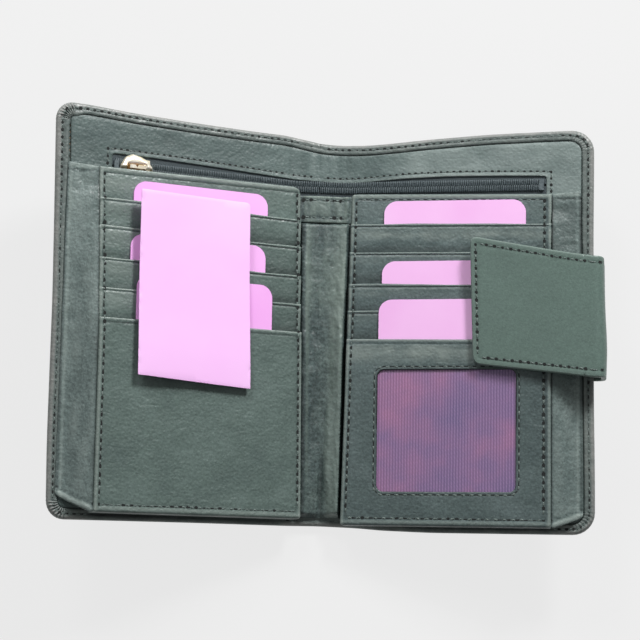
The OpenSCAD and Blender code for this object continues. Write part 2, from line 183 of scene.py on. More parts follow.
# ---- places
def half(side):
    """Place in one half: along the leather from the spine's middle, up the page, away from the outer face."""
    angle = ANGLE[side]
    radius = BEND / math.tan(angle / 2)

    def place(s, y, n):
        phi = angle * np.clip((s - HINGE + BEND) / (2 * BEND), 0, 1)
        near = np.minimum(s - HINGE + BEND, 0)
        far = np.maximum(s - HINGE - BEND, 0)
        arm = radius - (n - MID)
        x = HINGE - BEND + near + arm * np.sin(phi) + far * math.cos(angle)
        z = MID + radius - arm * np.cos(phi) + far * math.sin(angle)
        return np.stack([side * x, y + 0 * x, z], -1) * MM
    return place


def page_place(side):
    """Place on a page, which stays flat up to its edge: out from the fold, up, away from the outer face."""
    place = half(side)

    def flat(u, y, n):
        edge = place(HINGE + BEND, y, n) / MM
        out = (u - BEND) * np.array([[side * math.cos(ANGLE[side])], [0], [math.sin(ANGLE[side])]])
        return (edge + out.T) * MM
    return flat


PLACE = {side: half(side) for side in (-1, 1)}
PAGE_PLACE = {side: page_place(side) for side in (-1, 1)}

STRAP_TIP = 61.0                 # the tip's edge, from the fold
STRAP_FLAT = 116.0 - STRAP_TIP   # length that lies over the page
TOP_R, LOW_R = 3.4, 2.6          # radii of the two turns
CORE = 1.2                       # height of the strap's middle over its lower face
STRAP_TOP = 12.45
STRAP_SIDE = 119.4
NECK = STRAP_TOP - TOP_R - (LOW_R - CORE)
STRAP_END = STRAP_FLAT + QUARTER * (TOP_R + LOW_R) + NECK + 29.8
TAPER = 58.4                     # length over which the strap narrows and runs askew
HALF_WIDTH, WIDER = 27, 2.25     # of the strap at its root, and what the tip adds


def strap_place(t, w, h):
    """Place on the strap: along it from its tip, across it, and away from its lower face."""
    t, w, h = np.broadcast_arrays(np.asarray(t, float), w, h)
    first = STRAP_FLAT + QUARTER * TOP_R
    second = first + NECK
    phi = np.clip((t - STRAP_FLAT) / TOP_R, 0, QUARTER) + np.clip((t - second) / LOW_R, 0, QUARTER)
    turned, over = np.minimum(phi, QUARTER), np.maximum(phi - QUARTER, 0)
    flat = STRAP_TIP + np.minimum(t, STRAP_FLAT)
    back = np.maximum(t - second - QUARTER * LOW_R, 0)
    u = flat + TOP_R * np.sin(turned) - LOW_R * (1 - np.cos(over)) - back
    n = STRAP_TOP - TOP_R * (1 - np.cos(turned)) - np.clip(t - first, 0, NECK) - LOW_R * np.sin(over)
    u = u + (h - CORE) * np.sin(phi)
    n = n + (h - CORE) * np.cos(phi)
    u = u - 0.027 * w * (1 - np.clip(t / 50, 0, 1))
    u = u + (1.1 * bell(w + 14, 17) - 0.25) * smooth(t, 44, 60) * fade(t, 66, 74)
    n = n + 1.3 * smooth(t, 8, 46) * fade(t, 60, 69)
    along = np.clip((STRAP_SIDE - flat) / TAPER, 0, 1)
    return PLACE[1](HINGE + u, 3.5 + 9.1 * along + w, n)


# ---- meshes
def link_object(name, mesh):
    obj = bpy.data.objects.new(name, mesh)
    bpy.context.collection.objects.link(obj)
    return obj


def add_mesh(name, verts, faces, mats, tone=None, which=None):
    """A smooth mesh. tone goes to its material as an attribute, which is each face's material."""
    mesh = bpy.data.meshes.new(name)
    mesh.from_pydata([tuple(v) for v in verts], [], [tuple(int(i) for i in f) for f in faces])
    for m in mats:
        mesh.materials.append(m)
    if which is not None:
        mesh.polygons.foreach_set("material_index", np.asarray(which, np.int32))
    values = np.zeros(len(verts)) if tone is None else tone
    mesh.attributes.new("tone", "FLOAT", "POINT").data.foreach_set("value", values.astype(np.float32))
    mesh.shade_smooth()
    mesh.set_sharp_from_angle(angle=math.radians(50))
    return link_object(name, mesh)


def triangulate(pts, edges, loops):
    out, _, faces, _, _, _ = delaunay_2d_cdt([Vector(p) for p in pts], edges, [], 0, 1e-6)
    xy = np.array([tuple(p) for p in out])
    tris = np.array([f for f in faces if len(f) == 3])
    tris = tris[inside(xy[tris].mean(1), loops)]
    a, b, c = xy[tris[:, 0]], xy[tris[:, 1]], xy[tris[:, 2]]
    area = (b[:, 0] - a[:, 0]) * (c[:, 1] - a[:, 1]) - (b[:, 1] - a[:, 1]) * (c[:, 0] - a[:, 0])
    tris[area < 0] = tris[area < 0][:, ::-1]
    return xy, tris[np.abs(area) > 1e-9]


def ring_points(p, loops, rings, join):
    """Points inside the outline p at the distances in rings, where its edge needs them to be round."""
    out = []
    tangent = np.roll(p, -1, 0) - np.roll(p, 1, 0)
    normal = np.stack([-tangent[:, 1], tangent[:, 0]], 1)
    normal /= np.maximum(np.linalg.norm(normal, axis=1), 1e-9)[:, None]
    free = ~join(p)
    for r in rings:
        for way in (1, -1):
            spots = p[free] + way * normal[free] * r
            out.append(spots[inside(spots, loops) & (edge_distance(spots, loops, join) > 0.93 * r)])
    ends = p[join(p)]
    if len(ends):
        for corner in ends[edge_distance(ends, loops, join) < 1e-6]:
            for r in rings:
                for way in (1, -1):
                    spot = np.array([[corner[0] + 1e-9, corner[1] + way * r]])
                    if inside(spot + [[1e-4, 0]], loops)[0]:
                        out.append(spot)
    return out


# Of the grid inside a sheet: height of its rows, share of points that a coarse part keeps along each row, and the
# least distance of further points from the edge. Then the least thickness of a sheet.
ROW, COARSE, CLEAR, THINNEST = 0.87, 4, 0.25, 0.02


def plate(name, loops, place, top, bottom, mat, step=1.5, rings=(0.05, 0.15, 0.35), join=never, mirror=False,
          fine=None, tone=None, more=None):
    """A closed sheet over an outline with holes. top, bottom and tone shape and shade it. It has no wall where
    join holds. fine says where the points lie a step apart, and more gives further points."""
    loops = [np.asarray(p, float) for p in loops]
    dense, edges, extra, count = [], [], [], 0
    for p in loops:
        q = resample(p, step)
        dense.append(q)
        edges += [(count + i, count + (i + 1) % len(q)) for i in range(len(q))]
        count += len(q)
        extra += ring_points(q, loops, rings, join)
    low, high, row = loops[0].min(0), loops[0].max(0), step * ROW
    gx, gy = np.meshgrid(np.arange(int((high[0] - low[0]) / step) + 2), np.arange(int((high[1] - low[1]) / row) + 2))
    gx, gy = gx.reshape(-1), gy.reshape(-1)
    grid = np.stack([low[0] + (gx + 0.5 * (gy % 2)) * step, low[1] + gy * row], -1)
    if fine is not None:
        grid = grid[fine(grid[:, 1]) | ((gx % COARSE == 0) & (gy % COARSE == 0))]
    grid = grid[inside(grid, loops)]
    grid = grid[edge_distance(grid, loops, join) > rings[-1] + 0.4 * step]
    if more is not None:
        more = more[inside(more, loops)]
        extra.append(more[edge_distance(more, loops, join) > CLEAR])
    every = np.concatenate(dense)
    if join(every).any():
        grid = grid[grid[:, 0] > 0.45 * step]
    xy, tris = triangulate(np.concatenate([every] + extra + [grid]), edges, loops)
    d = edge_distance(xy, loops, join)
    d[d < 1e-5] = 0
    a, b, n = xy[:, 0], xy[:, 1], len(xy)
    under = bottom(a, b, d)
    over = np.maximum(top(a, b, d), under + THINNEST)
    sides, on = dict.fromkeys((t[i], t[(i + 1) % 3]) for t in tris for i in range(3)), join(xy)
    walls = [(i + n, j + n, j, i) for i, j in sides if (j, i) not in sides and not (on[i] and on[j])]
    faces = [tuple(t) for t in tris] + [tuple(t[::-1] + n) for t in tris] + walls
    if mirror:
        faces = [f[::-1] for f in faces]
    shade = np.zeros(n) if tone is None else tone(a, b, d) + 0 * a
    verts = np.concatenate([place(a, b, over), place(a, b, under)])
    obj = add_mesh(name, verts, faces, [mat], np.concatenate([shade, np.maximum(shade, 0)]))
    SURFACE[name] = lambda p, q: top(p, q, edge_distance(np.stack([p, q], 1), loops, join))
    return obj


SURFACE = {}                     # height of each sheet's upper face, by its name


def half_plate(side, name, loop, top, bottom, mat, **rest):
    """A sheet that joins its twin at the middle of the spine."""
    return plate(f"{name}_{TAG[side]}", [loop], PLACE[side], top, bottom, mat, join=at_middle, mirror=side < 0, **rest)


def page_plate(side, name, loops, top, bottom, mat, **rest):
    return plate(name, loops, PAGE_PLACE[side], top, bottom, mat, mirror=side < 0, **rest)


def below(top, thick, least=0.0):
    """The lower face of a sheet of one thickness."""
    return lambda a, b, d: np.maximum(top(a, b, d) - thick, least)


def walk(path, pitch):
    """Even points along a path, with its direction at each."""
    path = np.asarray(path, float)
    run = np.concatenate([[0], np.cumsum(np.linalg.norm(np.diff(path, axis=0), axis=1))])
    count = max(1, int(run[-1] / pitch))
    at = (np.arange(count) + 0.5) * run[-1] / count

    def spot(along):
        return np.stack([np.interp(np.clip(along, 0, run[-1]), run, path[:, k]) for k in (0, 1)], 1)
    way = spot(at + 0.3) - spot(at - 0.3)
    return spot(at), way / np.maximum(np.linalg.norm(way, axis=1), 1e-9)[:, None], run[-1] / count


# Along a thread: its place, its thickness and how far it dips.
THREAD_SHAPE = [(-0.5, 0.25, -1.1), (-0.4, 0.8, -0.35), (-0.18, 1, 0.1), (0.18, 1, 0.1), (0.4, 0.8, -0.35),
                (0.5, 0.25, -1.1)]
THREAD_LENGTH, HOLE_SIZE, HOLE_RISE = 0.58, 2.1, 0.09


def stitches(name, paths, surface, place, pitch, seed, radius=0.4, mirror=False):
    """Threads along paths on a surface, with a near-black disc at each needle hole as its painted shade."""
    rng = np.random.default_rng(seed)
    verts, faces, which = [], [], []
    ring = np.arange(6) * math.pi / 3
    for path in paths:
        where, way, real = walk(path, pitch)
        cross = np.stack([-way[:, 1], way[:, 0]], 1)
        for c, t, k, n in zip(where, way, cross, surface(where[:, 0], where[:, 1])):
            size = radius * rng.uniform(0.85, 1.15)
            skew = rng.uniform(-0.12, 0.12)
            base = len(verts)
            for s, fat, dip in THREAD_SHAPE:
                centre = c + t * s * real * THREAD_LENGTH + k * skew * s * 2
                verts += [(*(centre + k * math.cos(q) * size * fat), n + (math.sin(q) * fat * 0.8 + dip) * size)
                          for q in ring]
            for i in range(base, base + 30, 6):
                faces += [(i + j, i + (j + 1) % 6, i + (j + 1) % 6 + 6, i + j + 6) for j in range(6)]
            faces.append(tuple(range(base + 36, base + 42)))
            which += [0] * 30 + [1]
            for q in ring:
                p = c + t * real * 0.5 + (t * math.cos(q) * 1.15 + k * math.sin(q)) * size * HOLE_SIZE
                verts.append((*p, n + HOLE_RISE))
    if mirror:
        faces = [f[::-1] for f in faces]
    v = np.array(verts)
    return add_mesh(name, place(v[:, 0], v[:, 1], v[:, 2]), faces, [THREAD, HOLE_SHADE], None, which)


# ---- materials
def node_maker(tree):
    """Maker of a tree's nodes. Inputs come in their order or by name, each a value, a node or a socket."""
    def node(kind, *inputs, **named):
        made = tree.nodes.new("ShaderNode" + kind) if isinstance(kind, str) else kind
        for key, value in [*enumerate(inputs), *named.items()]:
            name = key.replace("_", " ") if isinstance(key, str) else key
            if isinstance(key, str) and name not in made.inputs:
                setattr(made, key, value)
                continue
            if isinstance(value, bpy.types.Node):
                value = value.outputs[0]
            if isinstance(value, bpy.types.NodeSocket):
                tree.links.new(value, made.inputs[name])
            else:
                made.inputs[name].default_value = value
        return made
    return node


def new_material(name):
    mat = bpy.data.materials.new(name)
    mat.use_nodes = True
    node = node_maker(mat.node_tree)
    return mat, mat.node_tree.nodes["Principled BSDF"], node, node("TexCoord").outputs["Object"]


def ramp(node, amount, *stops):
    made = node("ValToRGB", amount)
    points = made.color_ramp.elements
    while len(points) < len(stops):
        points.new(0.5)
    for p, (at, colour) in zip(points, stops):
        p.position, p.color = at, (*colour, 1)
    return made


def leather(name, base, light, dark, grain=800.0, depth=0.8, rough=0.42, crease=0.5, wrinkle=0.5,
            stretch=(1, 1, 1), highlight_colour=(0.2, 0.24, 0.22, 1), speckle=0.12):
    """Grained leather. Where the mesh's tone is above 0 it is painted towards a pale colour, a painted highlight; where
    it is below 0 it is painted dark, a painted shade.
    """
    mat, shader, node, coords = new_material(name)
    scaled = node("Mapping", coords, Scale=stretch)
    creased = node("Mapping", coords, Scale=[a * b for a, b in zip(stretch, (0.5, 1.5, 1))])
    cloud = node("TexNoise", scaled, Scale=55.0, Detail=5.0, Roughness=0.6)
    speck = node("TexNoise", coords, Scale=950.0, Detail=3.0, Roughness=0.6, Distortion=0.6)
    contrast = node("MapRange", speck, 0.32, 0.68, 0.5 - speckle, 0.5 + speckle)
    tones = ramp(node, cloud, (0.2, dark), (0.5, base), (0.82, light))
    fleck = node("MixRGB", 0.7, tones, contrast, blend_type="OVERLAY")
    # The tone attribute: above 0 it mixes in the pale colour as a painted highlight or sheen, below 0 it mixes towards
    # near black as a painted shade.
    tone = node("Attribute", attribute_name="tone").outputs["Fac"]
    painted_light = node("MixRGB", node("Math", tone, 0, operation="MAXIMUM"), fleck, highlight_colour)
    painted_shade = node("Math", tone, -1, operation="MULTIPLY", use_clamp=True)
    deep = node("MixRGB", painted_shade, painted_light, (0.008, 0.012, 0.012, 1))
    vein = node("TexNoise", creased, Scale=230.0, Detail=2.0, Roughness=0.6, Distortion=0.9,
                noise_type="RIDGED_MULTIFRACTAL")
    # The fine creases are painted darker as well as bumped, a painted shade in them.
    furrow = node("MapRange", vein, 0.9, 1.9, 0.0, min(wrinkle, 1) * 0.5)
    crease_shaded = node("MixRGB", furrow, deep, (*[c * 0.6 for c in dark], 1))
    pebble = node("TexVoronoi", coords, Scale=grain, feature="SMOOTH_F1")
    bent = node("TexNoise", coords, Scale=grain * 0.45, Detail=3.0)
    grains = node("Math", pebble.outputs["Distance"], bent, operation="ADD")
    fine = node("Bump", Strength=depth, Distance=0.0002, Height=grains, invert=True)
    fold = node("TexNoise", scaled, Scale=150.0, Detail=4.0, Roughness=0.55, Distortion=0.8)
    wave = node("Bump", Strength=crease, Distance=0.0006, Height=fold, Normal=fine)
    lines = node("Bump", Strength=wrinkle, Distance=0.00022, Height=vein, Normal=wave, invert=True)
    shine = node("MapRange", cloud, 0.3, 0.7, rough + 0.1, rough - 0.08)
    node(shader, Base_Color=crease_shaded, Normal=lines, Roughness=shine, Specular_IOR_Level=0.45)
    return mat


def woven(name, base, light, scale=900.0, rough=0.8):
    """Two crossing sets of threads."""
    mat, shader, node, coords = new_material(name)
    warp, weft = (node("TexWave", coords, Scale=scale, wave_type="BANDS", bands_direction=way, Distortion=0.4)
                  for way in "XY")
    both = node("Math", warp.outputs["Fac"], weft.outputs["Fac"], operation="MULTIPLY")
    patch = node("TexNoise", coords, Scale=90.0, Detail=3.0)
    colour = ramp(node, node("Math", both, patch, operation="MULTIPLY"), (0.0, base), (0.55, light))
    bump = node("Bump", Strength=0.5, Distance=0.0001, Height=both)
    node(shader, Base_Color=colour, Normal=bump, Roughness=rough)
    return mat


def plain(name, base, light, scale=400.0, rough=0.5, metallic=0.0, bump=0.2):
    """A colour that varies softly, with a fine unevenness in its finish."""
    mat, shader, node, coords = new_material(name)
    patch = node("TexNoise", coords, Scale=scale, Detail=4.0)
    shine = node("MapRange", patch, 0, 1, rough * 0.8, rough * 1.2)
    dents = node("Bump", Strength=bump, Distance=0.00005, Height=patch)
    colour = ramp(node, patch, (0.35, base), (0.65, light))
    node(shader, Base_Color=colour, Roughness=shine, Normal=dents, Metallic=metallic)
    return mat


def satin_material():
    """Fine warp threads over a weft, shifting between blue violet and plum."""
    mat, shader, node, coords = new_material("window_satin")
    warp = node("TexWave", coords, Scale=250.0, wave_type="BANDS", bands_direction="X", Distortion=0.8)
    weft = node("TexWave", coords, Scale=330.0, wave_type="BANDS", bands_direction="DIAGONAL", Distortion=1.5)
    large = node("TexNoise", coords, Scale=34.0, Detail=4.0)
    hue = ramp(node, large, (0.3, (0.058, 0.036, 0.155)), (0.5, (0.118, 0.05, 0.172)), (0.68, (0.225, 0.07, 0.185)))
    slight = node("MapRange", weft.outputs["Fac"], 0, 1, 0.7, 1)
    both = node("Math", warp.outputs["Fac"], slight, operation="MULTIPLY")
    lit = node("MixRGB", both, hue, (0.13, 0.085, 0.125, 1), blend_type="ADD")
    bump = node("Bump", Strength=0.5, Distance=0.0001, Height=both)
    node(shader, Base_Color=lit, Normal=bump, Roughness=0.42, Sheen_Weight=0.25)
    return mat


def film_material():
    """Clear film, a little uneven."""
    mat, shader, node, coords = new_material("window_film")
    patch = node("TexNoise", coords, Scale=70.0, Detail=2.0)
    bump = node("Bump", Strength=0.25, Distance=0.0004, Height=patch)
    tint = ramp(node, patch, (0.3, (0.9, 0.9, 0.95)), (0.7, (0.95, 0.93, 1.0)))
    node(shader, Base_Color=tint, Normal=bump, Roughness=0.12, Alpha=0.06)
    return mat


# Pale grey-brown for the cover's rolled edge, a painted reflection of bright surroundings on it.
EDGE_REFLECTION = (0.25, 0.248, 0.238, 1)
PAGE = leather("page_leather", (0.092, 0.13, 0.117), (0.125, 0.168, 0.155), (0.062, 0.092, 0.085))
# The right page's leather is a darker, bluer copy of the page leather: partly its own bluer tone, partly a painted
# shade.
PAGE_RIGHT = leather("page_leather_right", (0.078, 0.11, 0.108), (0.125, 0.163, 0.163), (0.045, 0.068, 0.07),
                     speckle=0.18)
OUTER = leather("outer_leather", (0.1, 0.126, 0.118), (0.16, 0.18, 0.168), (0.065, 0.088, 0.084), grain=700.0,
                wrinkle=0.6, crease=0.7, highlight_colour=EDGE_REFLECTION)
LINING = leather("lining_leather", (0.085, 0.12, 0.114), (0.125, 0.165, 0.157), (0.058, 0.087, 0.085), rough=0.47,
                 crease=0.3, wrinkle=0.35, stretch=(1, 1.5, 1), highlight_colour=(0.26, 0.31, 0.295, 1))
SPINE = leather("spine_leather", (0.06, 0.086, 0.084), (0.1, 0.134, 0.122), (0.028, 0.043, 0.045), rough=0.46,
                grain=600.0, depth=1.0, crease=0.6, wrinkle=0.55, stretch=(1.5, 0.8, 1),
                highlight_colour=(0.19, 0.24, 0.21, 1), speckle=0.34)
WING = leather("wing_leather", (0.108, 0.144, 0.137), (0.19, 0.235, 0.225), (0.075, 0.105, 0.102), rough=0.44,
               crease=0.9, wrinkle=0.8, stretch=(1.6, 0.6, 1), highlight_colour=(0.25, 0.3, 0.28, 1), speckle=0.2)
STRAP = leather("strap_leather", (0.093, 0.142, 0.122), (0.108, 0.16, 0.139), (0.08, 0.124, 0.107), grain=1400.0,
                depth=0.2, rough=0.48, crease=0.12, wrinkle=0.05, speckle=0.1)
THREAD = woven("thread", (0.06, 0.085, 0.078), (0.3, 0.36, 0.335), scale=2500.0, rough=0.5)
# Near-black discs at the needle holes, a painted shade of the holes.
HOLE_SHADE = plain("needle_hole_shade", (0.004, 0.006, 0.006), (0.01, 0.013, 0.012), rough=0.9)
TAPE = woven("zip_tape", (0.035, 0.048, 0.054), (0.095, 0.12, 0.13), scale=2600.0)
CHAIN = plain("zip_chain", (0.055, 0.075, 0.083), (0.1, 0.128, 0.138), scale=900.0, rough=0.5)
GOLD = plain("gold_metal", (0.93, 0.82, 0.6), (1.0, 0.94, 0.8), scale=250.0, rough=0.34, metallic=0.7, bump=0.1)
# Dark brown gold for the hollow in the slider, a painted shade of the hollow.
SHADED_GOLD = plain("gold_shade", (0.2, 0.1, 0.03), (0.42, 0.24, 0.09), scale=400.0, rough=0.4, metallic=0.8, bump=0.2)
BOARD = plain("board", (0.3, 0.24, 0.17), (0.4, 0.32, 0.23), scale=700.0, rough=0.9, bump=0.5)
FABRIC = woven("pocket_fabric", (0.02, 0.024, 0.028), (0.06, 0.065, 0.07), scale=1000.0)
# The pink cards are one card stock in three copies: the cards in the slots painted deeper than the loose card, a
# painted shade, and those on the left page deeper still, a painted shade that offsets the stronger light on that page.
CARD = plain("card_stock", (0.83, 0.45, 0.79), (0.87, 0.52, 0.84), scale=22.0, rough=0.45, bump=0.08)
LEFT_CARD = plain("card_stock_left", (0.84, 0.4, 0.82), (0.88, 0.47, 0.86), scale=22.0, rough=0.45, bump=0.08)
LOOSE_CARD = plain("card_stock_lit", (0.87, 0.5, 0.87), (0.89, 0.57, 0.89), scale=14.0, rough=0.45, bump=0.08)
MAGNET = plain("magnet", (0.5, 0.5, 0.52), (0.6, 0.6, 0.61), rough=0.35, metallic=1.0)
SATIN = satin_material()
FILM = film_material()

# ---- covers
TOP_EDGE = {-1: [(0, 88.0), (4, 88.9), (14, 90.8), (34, 90.8), (64, 91.3), (93, 92.3), (112, 93.5), (130, 93.9)],
            1: [(0, 88.0), (5, 87.5), (12, 87.3), (23, 87.2), (33, 87.9), (51, 89.5), (79, 91.3), (107, 92.1),
                (130, 92.6)]}
FOOT_EDGE = {-1: [(0, -89.5), (30, -89.8), (59, -90.1), (97, -90.7), (130, -91.2)],
             1: [(0, -89.5), (8, -89.6), (24, -90.3), (27, -90.9), (53, -91.9), (98, -92.2), (130, -92.4)]}
SIDE_EDGE = {-1: [(-95, 126.1), (-57, 126.8), (-20, 126.7), (5, 126.6), (40, 127.1), (85, 127.9), (95, 128.2)],
             1: [(-95, 126.9), (-68, 127.0), (-32, 126.6), (46, 126.6), (69, 126.9), (95, 127.0)]}
CORNER = {-1: 8.0, 1: 10.0}
HEM, HEM_TOP, WELL = 5.0, 3.3, 1.0   # width of the turned hem, its height and that of the leather under the lining
EDGE_ROLL = 1.6


def curve(points, at):
    """Smooth line through control points."""
    xs, ys = np.array(points, float).T
    dense = np.linspace(xs[0], xs[-1], 200)
    raw = np.interp(dense, xs, ys)
    soft = np.convolve(np.pad(raw, 8, mode="edge"), np.ones(17) / 17, "valid")
    soft += (raw - soft) * bell((dense - dense[0]) / 4, 1)
    return np.interp(at, dense, soft)


def hem_extra(side, y):
    """How much wider the hem of the side edge is than the hem of the top edge."""
    return 1.7 * smooth(y, 40, 68) if side < 0 else 0.7 * smooth(y, 20, 60)


def cover_outline(side, inset=0.0, extra=0.0):
    """Outline of a cover from the spine's middle, moved inward."""
    ys = np.linspace(-80, 80, 41)
    edge = curve(SIDE_EDGE[side], ys) - inset - extra * hem_extra(side, ys)
    reach = curve(SIDE_EDGE[side], 92) - inset - extra * float(hem_extra(side, 92))
    low = curve(SIDE_EDGE[side], -92) - inset
    xs = np.linspace(0, 1, 31)
    foot = [(x * low, curve(FOOT_EDGE[side], x * low) + inset) for x in xs]
    head = [(x * reach, curve(TOP_EDGE[side], x * reach) - inset) for x in xs[::-1]]
    r = CORNER[side] - inset
    foot = [p for p in foot[:-1] if p[0] < low - r - 3] + foot[-1:]
    head = head[:1] + [p for p in head[1:] if p[0] < reach - r - 3]
    radii = [0] * (len(foot) - 1) + [r] + [0] * len(ys) + [r] + [0] * (len(head) - 1)
    return rounded(foot + list(zip(edge, ys)) + head, radii, 8)


def turned_corners(side):
    """The two outer corners: which one, its radius and its centre."""
    r = CORNER[side] + 0.5
    for way, y in ((1, curve(TOP_EDGE[side], 118) - r), (-1, curve(FOOT_EDGE[side], 118) + r)):
        yield way, r, curve(SIDE_EDGE[side], 88 * way) - r, y


def hem_pleats(side, s, y):
    """Fan of small pleats where the hem turns a corner."""
    out = 0 * s
    for way, r, cs, cy in turned_corners(side):
        radius = np.hypot(s - cs, y - cy)
        theta = np.degrees(np.arctan2((y - cy) * way, s - cs))
        ridge = np.abs(((theta + 3 * np.sin(radius)) / 11.5) % 1 - 0.5) * 2 - 0.5
        where = smooth(theta, -4, 14) * fade(theta, 76, 94) * smooth(radius, r - 7, r - 4.5)
        out = out + (1 if side < 0 else 0.4) * ridge * where * fade(radius, r - 0.9, r + 0.3)
    return out


def corner_points(side):
    """Close points over the two outer corners, where the pleats are."""
    theta = np.radians(np.arange(-3, 94, 2.3))
    return np.concatenate([np.stack([cs + q * np.cos(theta), cy + way * q * np.sin(theta)], 1)
                           for way, r, cs, cy in turned_corners(side) for q in np.arange(r - 6.3, r - 0.1, 0.55)])


def make_cover(side):
    seam, furrow = 2.5, 3.7          # where the hem's stitches and its inner crease run

    def narrow(s, y, d):
        wide = 1 + hem_extra(side, y) / HEM * smooth(s, 114, 119)
        return np.where(d > HEM * wide, d - HEM * (wide - 1), d / wide)

    def top(s, y, d):
        d = narrow(s, y, d)
        hem = HEM_TOP - roll(d, EDGE_ROLL) + 0.5 * hem_pleats(side, s, y) + 0.12 * bell(d - furrow, 0.7)
        hem = hem - 0.22 * bell(d - seam, 0.5) * (0.75 + 0.25 * np.sin(y * 1.85 + s * 1.85))
        hem = hem + 0.14 * fbm(s / 5, y / 5, 3) * smooth(d, 0.3, 2) - 0.5 * smooth(d, 4.4, HEM)
        return hem - (hem - WELL) * smooth(d, 4.98, 5.2)

    def bottom(s, y, d):
        return roll(d, EDGE_ROLL) + 0.05 * (fbm(s / 16, y / 16, 5) + 1) * smooth(d, 2, 6) * (s > 16)

    # Painted light and shade on the cover: its rolled edge painted pale, a painted reflection; the corner pleats
    # painted light on their ridges and dark in their folds; a painted highlight beside the inner crease; painted shade
    # in the stitch line, towards the hem's inner crease and over the leather beyond it; and a painted shadow on the hem
    # under the page's foot.
    def tone(s, y, d):
        d = narrow(s, y, d)
        painted_light = 0.7 * fade(d, 0.9, 2.3) * (0.8 + 0.3 * noise(s / 4, y / 4, 9)) + 1.7 * hem_pleats(side, s, y)
        painted_light = painted_light + 0.1 * bell(d - 3.6, 0.5) * (1 + noise(s / 7, y / 7, 4)) - 0.3 * bell(d - seam, 0.5)
        ragged = 4.0 + (0.3 if side < 0 else 0.6) * noise(s / 5, y / 5, 8)
        foot = PAGE_FOOT[side][0]
        shadow_under_page = smooth(s, 14, 20) * fade(s, 104, 112) * fade(y, foot - 0.5, foot + 1)
        return painted_light - 0.7 * smooth(d, ragged + 0.2, 4.95) - 0.85 * shadow_under_page
    rings = (0.08, 0.3, 0.7, 1.2, 1.8, 2.5, 3.2, 3.7, 4.2, 4.6, 4.98, 5.2)
    cover = half_plate(side, "outer_leather", cover_outline(side), top, bottom, OUTER, step=1.6, rings=rings,
                       tone=tone, more=corner_points(side))
    line = cover_outline(side, seam)
    line = line[line[:, 0] > 0.8]
    paths = [line[(line[:, 0] < 13) & (line[:, 1] < 0)], line[(line[:, 0] > 107) | (line[:, 1] > 0)]]
    return cover, stitches(f"hem_stitches_{TAG[side]}", paths, SURFACE[cover.name], PLACE[side], 3.3, 11 + side, 0.34,
                           side < 0)


# ---- lining and zip
WINDOW_END = {-1: HINGE + 90.3, 1: HINGE + 94.1}
LIP = {-1: [(0, 69.6), (15, 70.3), (35, 71.0), (60, 71.8), (84, 72.4), (104, 72.5)],
       1: [(0, 69.6), (10, 69.1), (19, 69.2), (38, 70.9), (61, 71.7), (84, 71.5), (108, 71.0)]}
SILL = 61.8
LINING_TOP, LINING_THICK = 3.05, 0.5
ZIP_Y = 67.0                     # the line where the two rows of teeth meet


def make_lining(side):
    """The lining, which has the zip's window cut into it. Its upper edge is the lip."""
    end, stitch_line = WINDOW_END[side], 2.1
    lip = [(x, float(curve(LIP[side], x))) for x in np.linspace(0, end, 14)]
    window = rounded(lip + [(end, SILL), (0, SILL)], [0] * 13 + [1.2, 1.2, 0], 4)
    loop = np.concatenate([cover_outline(side, HEM + 0.02, extra=1), window])

    def ripple(s, y):
        streak = fbm(side * s / 2.3, y / 26, 21) * 0.6 * fade(s, 9, 20)
        return (streak + 0.22 * fbm(s / 15, y / 9, 22) + 0.08 * fbm(s / 4, y / 4, 23)) * (y > 61)

    def lip_distance(s, y):
        return np.where(s < end + 3, y - curve(LIP[side], s), 9)

    def top(s, y, d):
        up = lip_distance(s, y)
        lift = 0.3 * fade(up, 0.5, 4.5) * (up > -0.5) * fade(s, end - 2, end + 2)
        n = LINING_TOP + ripple(s, y) * smooth(d, 0.2, 2) - roll(d, 0.3) - 0.15 * fade(d, 0.1, 1.4) * (up > 4)
        return np.clip(n - 0.16 * bell(up - stitch_line, 0.45) * (s < end + 1) + lift, 2.75, 4.4)

    # Painted light and shade on the lining: a painted highlight on the lip's rolled edge and on the ripples' crests,
    # painted shade in the stitch line, in the ripples' hollows and at the outer edge beside the hem; the right lining
    # painted lighter towards its outer side as a painted sheen, the left one darker there as painted shade.
    def tone(s, y, d):
        up = lip_distance(s, y)
        rim = 0.45 * bell(up - 0.45, 0.45) - 0.3 * bell(up - stitch_line, 0.5) * (s < end + 1)
        if side > 0:
            rim = rim + 0.42 * smooth(s, 26, 50) * (y > 61) * (1 + 0.5 * fbm(s / 9, y / 7, 25))
        else:
            rim = rim - 0.12 * smooth(s, 15, 40)
        return rim + 0.6 * ripple(s, y) - 0.35 * fade(d, 0, 0.5) * (up > 4)
    lining = half_plate(side, "lining_leather", loop, top, below(top, LINING_THICK), LINING, step=1.6,
                        rings=(0.1, 0.3, 0.8, 1.5, 2.1, 2.7), tone=tone)
    row = [(x, float(curve(LIP[side], x)) + stitch_line) for x in np.linspace(1, end + 1.8, 40)]
    column = [(end + 2.2, SILL - 4), (end + 2.2, float(curve(LIP[side], end)) + 1.9)]
    return lining, stitches(f"zip_stitches_{TAG[side]}", [row, column], SURFACE[lining.name], PLACE[side], 2.9,
                            21 + side, 0.3, side < 0)


def tooth(a, b, n, width, length, height):
    """A tooth of the zip, a bar with round ends: its corners and faces."""
    verts, faces = [], []
    for q, fat in ((-0.5, 0.45), (-0.42, 0.85), (-0.3, 1), (0.3, 1), (0.42, 0.85), (0.5, 0.45)):
        for t in np.arange(8) * math.pi / 4 + math.pi / 8:
            verts.append((a + width / 2 * math.cos(t) * fat * 1.08, b + q * length,
                          n + height / 2 * math.sin(t) * fat * 1.08))
    for i in range(0, 40, 8):
        faces += [(i + j, i + j + 8, i + (j + 1) % 8 + 8, i + (j + 1) % 8) for j in range(8)]
    return verts, faces + [tuple(range(8)), tuple(range(40, 48))[::-1]]


